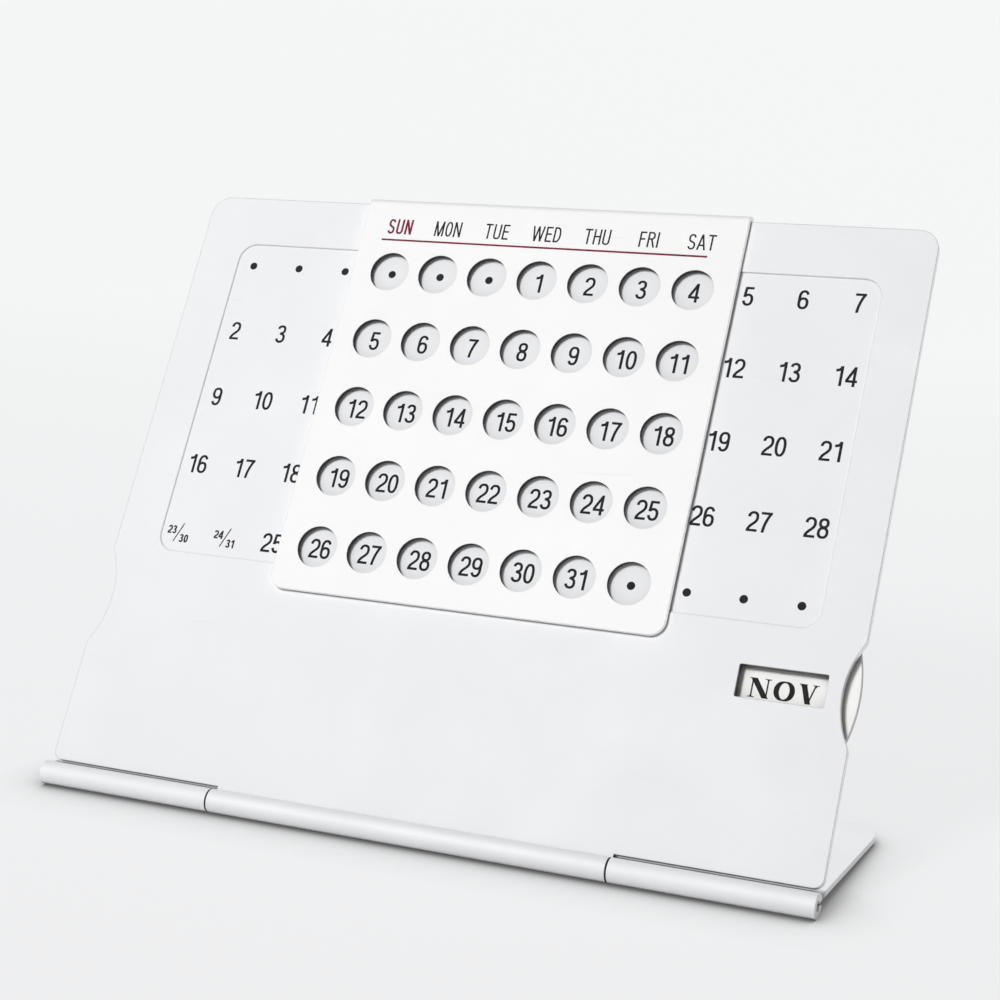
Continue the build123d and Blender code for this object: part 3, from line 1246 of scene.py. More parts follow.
@dataclass(frozen=True)
class Finish:
    """A procedural finish, which makes one material.

    Args:
        name: The material's name.
    """

    name: str

    def surface(self, sheet: Sheet, effects: Effects) -> Inputs:
        """Work out what each socket of the shader gets.

        Args:
            sheet: The material's sheet.
            effects: The shared effects.

        Returns:
            A value or an output for each socket that the finish sets.
        """
        raise NotImplementedError

    def material(self, effects: Effects) -> bpy.types.Material:
        """Build the material.

        Args:
            effects: The shared effects.

        Returns:
            The material.
        """
        made = bpy.data.materials.new(self.name)
        made.use_nodes = True
        made.node_tree.nodes.clear()
        sheet = Sheet(made.node_tree)
        shader = sheet.add("BsdfPrincipled", self.surface(sheet, effects))
        sheet.add("OutputMaterial", {"Surface": shader.outputs[0]})
        return made


@dataclass(frozen=True)
class Walls:
    """The look of a sheet's cut or pressed walls: their finish, which in some regions is a dark colour
    painted on as painted shade.

    Args:
        colour: Their colour.
        metallic: How metallic they are.
        rim_share: How much of the sheet's rim colour, its painted edge shade, their corners show.
    """

    colour: Colour
    metallic: float
    rim_share: float


@dataclass(frozen=True)
class Region:
    """A rectangle on a sheet whose walls have a look of their own, in some a painted shade.

    Args:
        middle: Its middle.
        right: The direction of its width.
        up: The direction of its height.
        half_width: Half its width, in metres.
        half_height: Half its height, in metres.
        walls: The look of the walls inside it.
    """

    middle: Vector
    right: Vector
    up: Vector
    half_width: float
    half_height: float
    walls: Walls

    @classmethod
    def on(cls, plane: FacePlane, x: float, v: float, width: float, height: float, walls: Walls) -> "Region":
        """Mark a rectangle on the face.

        Args:
            plane: The face's axes.
            x: Its middle along the hinge, in millimetres.
            v: Its middle up the face.
            width: Its width.
            height: Its height.
            walls: The look of the walls inside it.

        Returns:
            The rectangle.
        """
        middle = plane.place(x, v, 0.0)
        return cls(middle, plane.right, plane.up, width / 2 * MM, height / 2 * MM, walls)


@dataclass(frozen=True)
class Roll:
    """The rolled or folded part of a sheet.

    Args:
        axis: A point on the axis that it is bent about.
        radius: The distance from that axis inside which it is bent.
        face: Its colour.
        metallic: How metallic it is.
        roughness: How rough it is, since bending opens the grain.
        grime: How much painted shade lies on the flat sheet beside it.
    """

    axis: Vector
    radius: float
    face: Colour
    metallic: float
    roughness: float
    grime: float = 0.0


@dataclass(frozen=True)
class SheetMetal(Finish):
    """A matt finished sheet, with bare or finished cut sides.

    Args:
        face: The colour of the sheet's faces.
        metallic: How metallic the faces are.
        roughness: How rough the faces are.
        walls: The finish of its cut sides.
        wall_roughness: How rough the cut sides are.
        rim: The colour of its scuffs, and of its corners, where it is painted edge shade.
        edge_width: The width of the softened corners, in metres.
        grain_size: The size of the grain, in metres.
        grain_depth: The height of the grain, in metres.
        normal: The direction that the sheet faces.
        roll: Its rolled or folded part.
        regions: Parts of the sheet whose walls look different, some painted dark as painted shade.
        wear: How the sheet has been handled.
        speckle: How much the grain changes the roughness.
        grime_reach: Where the painted shade beside the roll ends and where it is full, in roll radii.
    """

    face: Colour
    metallic: float
    roughness: float
    walls: Walls
    wall_roughness: float
    rim: Colour
    edge_width: float
    grain_size: float
    grain_depth: float
    normal: Vector
    roll: Roll
    regions: tuple[Region, ...] = ()
    wear: Wear = SHEET_WEAR
    speckle: float = 0.04
    grime_reach: Point = (2.1, 1.2)

    def walls_over(self, sheet: Sheet, effects: Effects) -> tuple[Value, Value, Value]:
        """Find the walls' look, which changes from region to region, with painted shade in some.

        Args:
            sheet: The material's sheet.
            effects: The shared effects.

        Returns:
            The walls' colour and metal, and how much of the rim colour their corners show.
        """
        colour, metallic, rim_share = self.walls.colour, self.walls.metallic, self.walls.rim_share
        for part in self.regions:
            placed = {"Middle": part.middle, "Right": part.right, "Up": part.up}
            sized = {"Half Width": part.half_width, "Half Height": part.half_height}
            inside = sheet.effect(effects.region, {**placed, **sized}).outputs["Inside"]
            colour = sheet.mix(inside, colour, part.walls.colour)
            metallic = sheet.blend(inside, metallic, part.walls.metallic)
            rim_share = sheet.blend(inside, rim_share, part.walls.rim_share)
        return colour, metallic, rim_share

    def grime(self, sheet: Sheet, reach: Socket) -> Socket:
        """Find the painted shade on the flat sheet beside the roll.

        Args:
            sheet: The material's sheet.
            reach: The distance from the roll's axis.

        Returns:
            How much of it shows.
        """
        ends = tuple(self.roll.radius * radii for radii in self.grime_reach)
        near = sheet.ramp(reach, ends, (0.0, self.roll.grime))
        return sheet.math("MULTIPLY", sheet.math("GREATER_THAN", reach, self.roll.radius), near)

    def surface(self, sheet: Sheet, effects: Effects) -> Inputs:
        """Work out what each socket of the shader gets.

        Args:
            sheet: The material's sheet.
            effects: The shared effects.

        Returns:
            The sheet's colour, metal, roughness and normal.
        """
        worn_and_shaded = HandledSurface(sheet, effects, self.grain_size, self.edge_width, self.wear)
        cut = sheet.effect(
            effects.cut_side,
            {"Sheet Normal": self.normal, "Roll Axis": self.roll.axis, "Roll Radius": self.roll.radius},
        )
        mask, rolled, reach = (cut.outputs[label] for label in ("Mask", "Rolled", "Reach"))
        walls, wall_metallic, rim_share = self.walls_over(sheet, effects)
        plain = sheet.mix(rolled, self.face, self.roll.face)
        clouded = (shade(colour, self.wear.mottle_level) for colour in (self.face, self.roll.face))
        tone = sheet.mix(worn_and_shaded.grain.outputs["Mottle"], sheet.mix(rolled, *clouded), plain)
        sided = sheet.mix(mask, worn_and_shaded.scuffed(tone, self.rim), walls)
        # Painted shade: darker in the narrow gaps, and on the flat sheet beside the roll.
        painted_shade = sheet.math("MAXIMUM", worn_and_shaded.dust(), self.grime(sheet, reach))
        face_metallic = sheet.ramp(rolled, OFF_TO_ON, (self.metallic, self.roll.metallic))
        face_rough = sheet.ramp(rolled, OFF_TO_ON, (self.roughness, self.roll.roughness))
        rough = sheet.blend(mask, face_rough, self.wall_roughness)
        speckled = sheet.ramp(worn_and_shaded.grain.outputs["Height"], GRAIN_HEIGHTS, (-self.speckle, self.speckle))
        return {
            # The rim colour on the corners is painted edge shade.
            "Base Color": sheet.mix(painted_shade, worn_and_shaded.rubbed(sided, self.rim, rim_share), PAINTED_SHADE_COLOUR),
            "Metallic": sheet.blend(mask, face_metallic, wall_metallic),
            "Roughness": sheet.math("ADD", rough, sheet.math("ADD", speckled, worn_and_shaded.smoothing())),
            "Normal": worn_and_shaded.normal(self.grain_depth),
        }


@dataclass(frozen=True)
class MouldedPlastic(Finish):
    """A moulded plastic or rubber with a fine spark-eroded grain.

    Args:
        colour: Its colour.
        roughness: How rough it is.
        grain_size: The size of the grain, in metres.
        grain_depth: The height of the grain, in metres.
        edge_width: The width of the softened corners, in metres.
        rubbed: The colour of scuffs and of corners that show rubbing.
        rubbed_share: How much of that colour the corners show.
        wear: How it has been handled.
    """

    colour: Colour
    roughness: float
    grain_size: float
    grain_depth: float
    edge_width: float
    rubbed: Colour
    rubbed_share: float = 0.35
    wear: Wear = PLASTIC_WEAR

    def surface(self, sheet: Sheet, effects: Effects) -> Inputs:
        """Work out what each socket of the shader gets.

        Args:
            sheet: The material's sheet.
            effects: The shared effects.

        Returns:
            The plastic's colour, roughness and normal.
        """
        worn_and_shaded = HandledSurface(sheet, effects, self.grain_size, self.edge_width, self.wear)
        clouded = shade(self.colour, self.wear.mottle_level)
        tone = sheet.mix(worn_and_shaded.grain.outputs["Mottle"], clouded, self.colour)
        handled = worn_and_shaded.rubbed(worn_and_shaded.scuffed(tone, self.rubbed), self.rubbed, self.rubbed_share)
        return {
            # Painted shade darkens the narrow gaps.
            "Base Color": sheet.mix(worn_and_shaded.dust(), handled, PAINTED_SHADE_COLOUR),
            "Roughness": sheet.math("ADD", self.roughness, worn_and_shaded.smoothing()),
            "Normal": worn_and_shaded.normal(self.grain_depth),
        }


@dataclass(frozen=True)
class TurnedMetal(Finish):
    """A small metal part with tool marks: rings about its axis, or lines along it.

    Args:
        colour: Its colour.
        roughness: How rough it is.
        centre: A point on its axis.
        axis: The direction of its axis.
        ring_pitch: The distance between two marks, in metres.
        drawn: Whether it is drawn wire, with lines along it, or else turned, with rings.
        edge_width: The width of the softened corners, in metres.
        patchiness: How unevenly its corners show rubbing.
        rubbed_share: How much lighter the corners are where they show rubbing.
        groove_depth: How deep a mark is, in pitches.
        groove_strength: How strongly the marks stand out.
        stretch: How much of the length is taken out of a drawn line's pattern.
    """

    colour: Colour
    roughness: float
    centre: Vector
    axis: Vector
    ring_pitch: float
    drawn: bool
    edge_width: float
    patchiness: float = 0.4
    rubbed_share: float = 0.5
    groove_depth: float = 0.2
    groove_strength: float = 0.5
    stretch: float = 0.985

    def tooling(self, sheet: Sheet) -> Socket:
        """Lay the tool marks.

        Args:
            sheet: The material's sheet.

        Returns:
            The height of the marks.
        """
        away = sheet.vector("SUBTRACT", sheet.spot(), self.centre)
        along = sheet.measure("DOT_PRODUCT", away, self.axis)
        lift = sheet.scaled(self.axis, along)
        if self.drawn:
            pulled = sheet.vector("ADD", away, sheet.scaled(lift, -self.stretch))
            lines = {"Vector": pulled, "Scale": 1 / self.ring_pitch, "Detail": 3.0}
            return sheet.add("TexNoise", lines).outputs[0]
        radius = sheet.measure("LENGTH", sheet.vector("SUBTRACT", away, lift))
        count = sheet.math("DIVIDE", sheet.math("ADD", radius, along), self.ring_pitch)
        rings = {"W": count, "Scale": 1.0, "Detail": 2.0}
        return sheet.add("TexNoise", rings, noise_dimensions="1D").outputs[0]

    def surface(self, sheet: Sheet, effects: Effects) -> Inputs:
        """Work out what each socket of the shader gets.

        Args:
            sheet: The material's sheet.
            effects: The shared effects.

        Returns:
            The metal's colour, metal, roughness and normal.
        """
        dark, light, smoother, rougher = 0.8, 1.12, -0.06, 0.08
        tooling = self.tooling(sheet)
        edge = sheet.effect(effects.soft_edge, {"Width": self.edge_width, "Patchiness": self.patchiness})
        tone = sheet.mix(sheet.ramp(tooling, (0.3, 0.7)), shade(self.colour, dark), self.colour)
        rubbed = sheet.math("MULTIPLY", edge.outputs["Rubbed"], self.rubbed_share)
        depth = self.ring_pitch * self.groove_depth
        relief = {"Height": tooling, "Distance": depth, "Strength": self.groove_strength}
        levels = (self.roughness + smoother, self.roughness + rougher)
        return {
            "Base Color": sheet.mix(rubbed, tone, shade(self.colour, light)),
            "Metallic": 1.0,
            "Roughness": sheet.ramp(tooling, (0.2, 0.8), levels),
            "Normal": sheet.add("Bump", {**relief, "Normal": edge.outputs["Normal"]}).outputs[0],
        }


@dataclass(frozen=True)
class PrintingInk(Finish):
    """A screen-printed ink film, with slightly uneven cover and a low sheen.

    Args:
        colour: Its colour.
        roughness: How rough it is.
        gloss: How strongly it mirrors.
        grain_size: The size of its grain, in metres.
        cover_size: The size of the patches where it lies thinner, in metres.
        film_depth: The height of its grain, in metres.
    """

    colour: Colour
    roughness: float = 0.75
    gloss: float = 0.12
    grain_size: float = 0.00012
    cover_size: float = 0.0015
    film_depth: float = 0.000004

    def surface(self, sheet: Sheet, effects: Effects) -> Inputs:
        """Work out what each socket of the shader gets.

        Args:
            sheet: The material's sheet.
            effects: The shared effects.

        Returns:
            The ink's colour, roughness, specular level and normal.
        """
        lighter, lifted, smoother, rougher = 1.3, 0.004, -0.06, 0.08
        sizes = {"Grain Size": self.grain_size, "Mottle Size": self.cover_size}
        grain = sheet.effect(effects.blasted_grain, sizes)
        thin = tuple(channel * lighter + lifted for channel in self.colour)
        relief = {"Height": grain.outputs["Height"], "Distance": self.film_depth, "Strength": 0.5}
        levels = (self.roughness + smoother, self.roughness + rougher)
        return {
            "Base Color": sheet.mix(grain.outputs["Mottle"], self.colour, thin),
            "Roughness": sheet.ramp(grain.outputs["Height"], GRAIN_HEIGHTS, levels),
            "Specular IOR Level": self.gloss,
            "Normal": sheet.add("Bump", relief).outputs[0],
        }


def dress(node: str, material: bpy.types.Material) -> None:
    """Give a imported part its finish.

    Args:
        node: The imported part's name.
        material: The finish's material.
    """
    slots = frame["nodes"][node].data.materials
    slots.clear()
    slots.append(material)


# ---------------------------------------------------------------------------
# Sub-assemblies
# ---------------------------------------------------------------------------


@dataclass
class CalendarFace:
    """The face plate, with the dates printed in its sunk panel.

    Sizes are in millimetres on the face.
    """

    plane: FacePlane
    effects: Effects
    column_pitch: float = 10.0
    row_pitch: float = 13.8
    grid_shift: float = 0.3
    grid_height: float = 76.0
    outer_column: int = 6
    rows: int = 5
    panel_floor: float = -1.2
    panel_width: float = 127.1
    panel_height: float = 63.5
    panel_rise: float = 0.4
    panel_margin: float = 0.6
    window_x: float = 59.5
    window_v: float = 34.5
    window_width: float = 16.5
    window_height: float = 7.5
    foot_height: float = 2.6
    foot_width: float = 136.4
    figure_height: float = 3.7
    figure_weight: float = 0.134
    fraction_height: float = 1.62
    fraction_weight: float = 0.19
    fraction_upper: Point = (-1.4, 0.45)
    fraction_lower: Point = (1.45, -1.1)
    slash_lean: float = 0.75
    slash_reach: float = 1.85
    slash_thickness: float = 0.22
    dot_size: float = 1.5
    first_date_column: int = 0
    last_date: int = 31

    def panel(self) -> Region:
        """The sunk panel, whose pressed walls mirror its floor."""
        width, height = self.panel_width + self.panel_margin, self.panel_height + self.panel_margin
        walls = Walls(colour=(0.93, 0.933, 0.945), metallic=1.0, rim_share=0.2)
        middle = self.grid_height + self.panel_rise
        return Region.on(self.plane, self.grid_shift, middle, width, height, walls)

    def window(self) -> Region:
        """The month window, whose walls are painted dark as painted shade."""
        walls = Walls(colour=(0.05, 0.05, 0.052), metallic=0.3, rim_share=0.45)
        width, height = self.window_width, self.window_height
        return Region.on(self.plane, self.window_x, self.window_v, width, height, walls)

    def foot(self) -> Region:
        """The plate's lower edge beside the knuckles, painted dark as painted shade."""
        walls = Walls(colour=(0.05, 0.05, 0.05), metallic=0.2, rim_share=0.45)
        return Region.on(self.plane, 0.0, self.foot_height, self.foot_width, 2 * self.foot_height, walls)

    def cell_text(self, column: int, row: int) -> str:
        """What is printed at a place of the grid: a date, two dates, or nothing for a dot."""
        week = len(WEEKDAYS)
        date = column - self.first_date_column + 1 + week * row
        if row == self.rows - 1 and date + week <= self.last_date:
            return f"{date}/{date + week}"
        if 1 <= date <= self.last_date:
            return str(date)
        return ""

    def print_cell(self, text: str, x: float, y: float) -> list[Patch]:
        """Print one place of the grid.

        Args:
            text: A date, two dates with a slash, or nothing for a dot.
            x: The middle of the place.
            y: Its height.

        Returns:
            What is printed.
        """
        if not text:
            return [round_dot(self.dot_size, x, y)]
        if "/" not in text:
            return figures_at(self.figure_height, self.figure_weight).word(text, x, y)
        upper, lower = text.split("/")
        small = figures_at(self.fraction_height, self.fraction_weight)
        low, high, thick = y - self.slash_reach, y + self.slash_reach, self.slash_thickness
        start, end = x - self.slash_lean, x + self.slash_lean
        slash = [(start, low), (start + thick, low), (end + thick, high), (end, high)]
        return [
            *small.word(upper, x + self.fraction_upper[0], y + self.fraction_upper[1]),
            *small.word(lower, x + self.fraction_lower[0], y + self.fraction_lower[1]),
            merged([slash]),
        ]

    def build(self) -> None:
        """Dress the plate and print the dates."""
        finish = SheetMetal(
            name="anodised_face",
            face=(0.832, 0.835, 0.85),
            metallic=0.12,
            roughness=0.68,
            walls=Walls(colour=(0.80, 0.80, 0.815), metallic=1.0, rim_share=0.6),
            wall_roughness=0.3,
            # A dark line painted along the plate's corners, as painted edge shade.
            rim=(0.10, 0.10, 0.105),
            edge_width=0.00028,
            grain_size=0.00022,
            grain_depth=0.000006,
            normal=self.plane.normal,
            roll=Roll(
                axis=self.plane.origin,
                radius=0.0023,
                face=(0.83, 0.833, 0.845),
                metallic=0.25,
                roughness=0.7,
            ),
            regions=(self.panel(), self.window(), self.foot()),
        )
        dress("face_plate", finish.material(self.effects))
        patches = []
        for row in range(self.rows):
            for column in range(-self.outer_column, self.outer_column + 1):
                x = self.grid_shift + column * self.column_pitch
                y = self.grid_height + ((self.rows - 1) / 2 - row) * self.row_pitch
                patches += self.print_cell(self.cell_text(column, row), x, y)
        dates = InkLayer().piece("printed_dates", patches, self.plane, self.panel_floor)
        dates.data.materials.append(PrintingInk("black_ink", (0.018, 0.018, 0.02)).material(self.effects))
        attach(dates, "face")
        log.info("%s: %d marks", dates.name, len(patches))


@dataclass
class DateSlider:
    """The white holed slider, with the weekdays printed across its top."""

    plane: FacePlane
    effects: Effects
    column_pitch: float = 10.0
    grid_shift: float = 0.3
    word_height: float = 113.0
    word_shift: float = -0.15
    letter_gap: float = 0.12
    cap_height: float = 3.1
    weekday_weight: float = 0.102
    sunday_weight: float = 0.13
    rule_height: float = 110.2
    rule_thickness: float = 0.36
    rule_left: float = -33.1
    rule_right: float = 31.7
    holes_height: float = 76.0
    holes_width: float = 69.6
    holes_tall: float = 67.0
    bend_radius: float = 1.3

    def hook_axis(self) -> Vector:
        """The middle of the bend along the slider's top."""
        corners = [self.plane.locate(v.co) for v in frame["nodes"]["date_slider"].data.vertices]
        top = max(c.y for c in corners)
        front = max(c.z for c in corners)
        return self.plane.place(0.0, top - self.bend_radius, front - self.bend_radius)

    def holes(self) -> Region:
        """The part with the date holes, whose walls are painted dark as painted shade."""
        walls = Walls(colour=(0.035, 0.035, 0.037), metallic=0.2, rim_share=0.35)
        width, height = self.holes_width, self.holes_tall
        return Region.on(self.plane, self.grid_shift, self.holes_height, width, height, walls)

    def build(self) -> None:
        """Dress the slider and print its heading."""
        white = (0.95, 0.95, 0.943)
        finish = SheetMetal(
            name="slider_white",
            face=white,
            metallic=0.0,
            roughness=0.5,
            walls=Walls(colour=(0.97, 0.97, 0.97), metallic=1.0, rim_share=0.75),
            wall_roughness=0.72,
            # A black line painted along the slider's corners, as painted edge shade.
            rim=(0.03, 0.03, 0.032),
            edge_width=0.00013,
            grain_size=0.0003,
            grain_depth=0.000005,
            normal=self.plane.normal,
            roll=Roll(axis=self.hook_axis(), radius=0.003, face=white, metallic=0.0, roughness=0.5),
            regions=(self.holes(),),
        )
        dress("date_slider", finish.material(self.effects))
        front = self.plane.front_of("date_slider")
        black, red = [], []
        for index, weekday in enumerate(WEEKDAYS):
            x = self.grid_shift + (index - len(WEEKDAYS) // 2) * self.column_pitch + self.word_shift
            first = weekday == FIRST_WEEKDAY
            weight = self.sunday_weight if first else self.weekday_weight
            face = capitals_at(self.cap_height, weight, self.letter_gap)
            (red if first else black).extend(face.word(weekday, x, self.word_height))
        red.append(bar(self.rule_left, self.rule_right, self.rule_height, self.rule_thickness))
        inks = {
            "printed_weekdays": (black, PrintingInk("black_heading_ink", (0.02, 0.02, 0.022))),
            "printed_sunday": (red, PrintingInk("red_ink", (0.19, 0.02, 0.04))),
        }
        for name, (patches, ink) in inks.items():
            piece = InkLayer().piece(name, patches, self.plane, front)
            piece.data.materials.append(ink.material(self.effects))
            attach(piece, "slider")
            log.info("%s: %d marks", name, len(patches))


@dataclass
class MonthWheel:
    """The white month disc, with its twelve months printed like spokes."""

    plane: FacePlane
    effects: Effects
    month_shown: str = "NOV"
    word_radius: float = 14.2
    word_drop: float = -0.42
    cap_height: float = 3.32
    heavy: float = 0.275
    fine: float = 0.075
    letter_gap: float = 0.15

    def build(self) -> None:
        """Dress the disc and print its months."""
        finish = MouldedPlastic(
            name="disc_plastic",
            colour=(0.90, 0.90, 0.88),
            roughness=0.48,
            grain_size=0.00025,
            grain_depth=0.000005,
            edge_width=0.00012,
            rubbed=(0.80, 0.80, 0.78),
        )
        dress("month_disc", finish.material(self.effects))
        centre = self.plane.locate(Vector(joint_named("month_turn")["pos_m"]))
        letters = roman_capitals(self.heavy, self.fine)
        roman = Typeface(self.cap_height, self.heavy, self.fine, self.letter_gap, letters)
        step = 360 / len(MONTHS)
        patches = []
        for index, month in enumerate(MONTHS):
            angle = (MONTHS.index(self.month_shown) - index) * step
            for patch in roman.word(month, self.word_radius, self.word_drop):
                patches.append(patch.moved(0, 0, angle).moved(centre.x, centre.y))
        months = InkLayer().piece("printed_months", patches, self.plane, self.plane.front_of("month_disc"))
        months.data.materials.append(PrintingInk("month_ink", (0.02, 0.02, 0.02)).material(self.effects))
        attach(months, "month_wheel")
        log.info("%s: %d marks", months.name, len(patches))


@dataclass
class Pivot:
    """The stack that carries the disc behind the face: stud, spacer, spring and nut."""

    plane: FacePlane
    effects: Effects

    def build(self) -> None:
        """Dress the stack."""
        centre, axis = Vector(joint_named("month_turn")["pos_m"]), self.plane.normal
        stud = TurnedMetal(
            name="stud_aluminium",
            colour=(0.72, 0.72, 0.73),
            roughness=0.32,
            centre=centre,
            axis=axis,
            ring_pitch=0.00012,
            drawn=False,
            edge_width=0.00008,
        )
        spring = TurnedMetal(
            name="spring_steel",
            colour=(0.50, 0.50, 0.52),
            roughness=0.3,
            centre=centre,
            axis=axis,
            ring_pitch=0.00009,
            drawn=False,
            edge_width=0.00005,
        )
        nylon = MouldedPlastic(
            name="spacer_plastic",
            colour=(0.83, 0.82, 0.77),
            roughness=0.4,
            grain_size=0.0002,
            grain_depth=0.000004,
            edge_width=0.0001,
            rubbed=(0.88, 0.88, 0.85),
        )
        dress("pivot_stud", stud.material(self.effects))
        steel = spring.material(self.effects)
        dress("spring_washer", steel)
        dress("push_nut", steel)
        dress("disc_spacer", nylon.material(self.effects))
        log.info("pivot dressed")


@dataclass
class HingedBase:
    """The base leaf with its rolled knuckles, the hinge pin and two rubber pads."""

    plane: FacePlane
    effects: Effects
    leaf_slope: float = 2.674

    def leaf_normal(self) -> Vector:
        """The leaf's own upward direction."""
        slope = math.radians(self.leaf_slope)
        return Vector((0, math.sin(slope), math.cos(slope)))

    def build(self) -> None:
        """Dress the base."""
        finish = SheetMetal(
            name="anodised_base",
            face=(0.95, 0.953, 0.965),
            metallic=1.0,
            roughness=0.36,
            walls=Walls(colour=(0.80, 0.80, 0.81), metallic=0.9, rim_share=0.4),
            wall_roughness=0.35,
            # A grey line painted along the leaf's corners, as painted edge shade.
            rim=(0.50, 0.50, 0.51),
            edge_width=0.00012,
            grain_size=0.00022,
            grain_depth=0.000006,
            normal=self.leaf_normal(),
            roll=Roll(
                axis=self.plane.origin,
                radius=0.0023,
                face=(0.84, 0.843, 0.855),
                metallic=0.3,
                roughness=0.75,
                # Painted shade on the leaf beside the knuckles, under the face plate.
                grime=0.7,
            ),
        )
        dress("base_plate", finish.material(self.effects))
        pin = TurnedMetal(
            name="pin_steel",
            # The pin is painted nearly black, as painted shade in the knuckles' bore.
            colour=(0.16, 0.16, 0.165),
            roughness=0.42,
            centre=self.plane.origin,
            axis=self.plane.right,
            ring_pitch=0.00006,
            drawn=True,
            edge_width=0.00006,
        )
        dress("hinge_pin", pin.material(self.effects))
        rubber = MouldedPlastic(
            name="pad_rubber",
            colour=(0.05, 0.05, 0.052),
            roughness=0.72,
            grain_size=0.0003,
            grain_depth=0.00002,
            edge_width=0.00015,
            rubbed=(0.11, 0.11, 0.11),
        )
        pad = rubber.material(self.effects)
        for node in ("foot_pad_left", "foot_pad_right"):
            dress(node, pad)
        log.info("base dressed")


# ---------------------------------------------------------------------------
# Studio
# ---------------------------------------------------------------------------


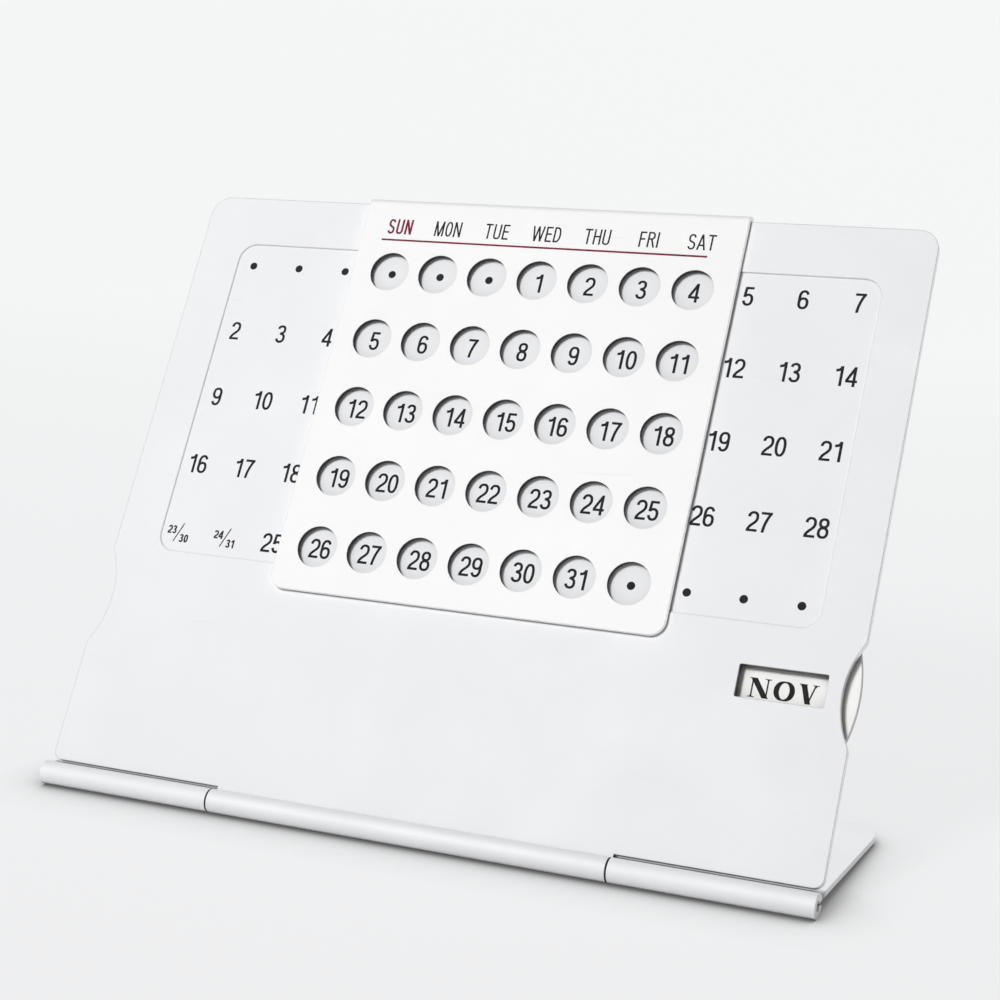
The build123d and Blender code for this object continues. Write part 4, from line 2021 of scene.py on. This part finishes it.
@dataclass
class Studio:
    """A pale sweep, one soft lamp above on the reader's left, a white room and the camera."""

    paper: Colour = (0.88, 0.885, 0.89)
    paper_near: Colour = (0.883, 0.886, 0.896)
    paper_far: Colour = (0.985, 1.0, 1.0)
    paper_cloud: float = 0.995
    paper_glow: float = 0.9
    near_depth: float = -0.1
    far_depth: float = 0.7
    contact_reach: float = 0.012
    contact_range: Point = (0.32, 0.98)
    contact_dark: float = 0.12
    floor_front: float = -4.0
    floor_back: float = 1.0
    floor_side: float = 4.0
    sweep_radius: float = 0.6
    sweep_steps: int = 24
    wall_height: float = 2.4
    room_tint: tuple[float, float, float, float] = (0.985, 0.992, 1.0, 1.0)
    room_level: float = 0.17
    backdrop_level: float = 0.90
    key_place: tuple[float, float, float] = (-0.215, -0.70, 0.66)
    key_size: float = 0.24
    key_watts: float = 6.2
    key_aim: tuple[float, float, float] = (0.0, 0.0, 0.05)
    camera_place: tuple[float, float, float] = (0.151903, -0.340319, 0.127777)
    camera_pan: float = 23.544
    camera_tilt: float = -11.137
    camera_roll: float = 1.175
    lens: float = 77.354
    sensor: float = 36.0

    @staticmethod
    def showing_rays(sheet: Sheet) -> Socket:
        """One for the rays that show the background: the camera's own, and through metal and glass."""
        rays = sheet.add("LightPath")
        mirrored = sheet.math("MAXIMUM", rays.outputs["Is Glossy Ray"], rays.outputs["Is Transmission Ray"])
        return sheet.math("MAXIMUM", rays.outputs["Is Camera Ray"], mirrored)

    def sweep(self) -> None:
        """A floor that curves up into a wall behind, whose glow has painted light falloff and a painted
        shadow under the calendar.
        """
        profile = [(self.floor_front, 0.0), (self.floor_back, 0.0)]
        for step in range(1, self.sweep_steps + 1):
            angle = math.radians(90 * step / self.sweep_steps)
            y = self.floor_back + self.sweep_radius * math.sin(angle)
            z = self.sweep_radius * (1 - math.cos(angle))
            profile.append((y, z))
        profile.append((self.floor_back + self.sweep_radius, self.wall_height))
        points = [(x, y, z) for y, z in profile for x in (-self.floor_side, self.floor_side)]
        faces = [(2 * i, 2 * i + 1, 2 * i + 3, 2 * i + 2) for i in range(len(profile) - 1)]
        mesh = bpy.data.meshes.new("sweep")
        mesh.from_pydata(points, [], faces)
        mesh.shade_smooth()
        floor = bpy.data.objects.new("sweep", mesh)
        bpy.context.scene.collection.objects.link(floor)
        made = bpy.data.materials.new("studio_paper")
        made.use_nodes = True
        made.node_tree.nodes.clear()
        sheet = Sheet(made.node_tree)
        spot = sheet.add("TexCoord").outputs["Object"]
        noise = sheet.add("TexNoise", {"Vector": spot, "Scale": 3.0, "Detail": 2.0})
        colour = sheet.mix(noise.outputs[0], shade(self.paper, self.paper_cloud), self.paper)
        lit = sheet.add("BsdfDiffuse", {"Color": colour})
        # The glow is darker towards the front, as painted light falloff.
        along = sheet.add("SeparateXYZ", {0: spot}).outputs["Y"]
        depth = sheet.ramp(along, (self.near_depth, self.far_depth))
        tint = sheet.mix(depth, self.paper_near, self.paper_far)
        # Ambient occlusion darkens the glow where the calendar meets the floor, as a painted shadow.
        open_sky = sheet.add("AmbientOcclusion", {"Distance": self.contact_reach}, samples=8).outputs["AO"]
        painted_contact_shadow = sheet.ramp(open_sky, self.contact_range, (self.contact_dark, 1.0))
        glow = sheet.add("Emission", {"Color": tint, "Strength": painted_contact_shadow})
        share = sheet.math("MULTIPLY", self.showing_rays(sheet), self.paper_glow)
        seen = sheet.add("MixShader", {0: share, 1: lit.outputs[0], 2: glow.outputs[0]})
        sheet.add("OutputMaterial", {"Surface": seen.outputs[0]})
        floor.data.materials.append(made)

    def room(self) -> None:
        """An even white room, which the camera, metal and glass see as the backdrop's colour."""
        world = bpy.data.worlds.new("white_room")
        world.use_nodes = True
        world.node_tree.nodes.clear()
        sheet = Sheet(world.node_tree)
        level = sheet.ramp(self.showing_rays(sheet), OFF_TO_ON, (self.room_level, self.backdrop_level))
        light = sheet.add("Background", {"Color": self.room_tint, "Strength": level})
        sheet.add("OutputWorld", {"Surface": light.outputs[0]})
        bpy.context.scene.world = world

    def lamp(self) -> None:
        """The soft lamp, aimed at the calendar."""
        light = bpy.data.lights.new("key_lamp", "AREA")
        light.shape = "DISK"
        light.size = self.key_size
        light.energy = self.key_watts
        lamp = bpy.data.objects.new("key_lamp", light)
        bpy.context.scene.collection.objects.link(lamp)
        lamp.location = self.key_place
        aim = Vector(self.key_aim) - Vector(self.key_place)
        lamp.rotation_mode = "QUATERNION"
        lamp.rotation_quaternion = aim.to_track_quat("-Z", "Y")
        lamp.visible_camera = False

    def camera(self) -> None:
        """The camera where the photograph was taken from."""
        data = bpy.data.cameras.new("camera")
        data.lens = self.lens
        data.sensor_width = self.sensor
        data.clip_start = 0.01
        camera = bpy.data.objects.new("camera", data)
        bpy.context.scene.collection.objects.link(camera)
        pan = Matrix.Rotation(math.radians(self.camera_pan), 4, "Z")
        tilt = Matrix.Rotation(math.radians(90 + self.camera_tilt), 4, "X")
        roll = Matrix.Rotation(math.radians(self.camera_roll), 4, "Z")
        camera.matrix_world = Matrix.Translation(self.camera_place) @ pan @ tilt @ roll
        bpy.context.scene.camera = camera

    def build(self) -> None:
        """Set up the studio."""
        self.sweep()
        self.room()
        self.lamp()
        self.camera()
        bpy.context.scene.view_settings.view_transform = "Standard"
        log.info("studio ready")


def main() -> None:
    """Build the looks."""
    logging.basicConfig(level=logging.INFO, format="%(name)s %(message)s")
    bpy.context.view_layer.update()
    plane = FacePlane.from_frame()
    effects = Effects()
    HingedBase(plane, effects).build()
    CalendarFace(plane, effects).build()
    DateSlider(plane, effects).build()
    MonthWheel(plane, effects).build()
    Pivot(plane, effects).build()
    Studio().build()


if __name__ == "__main__":
    main()
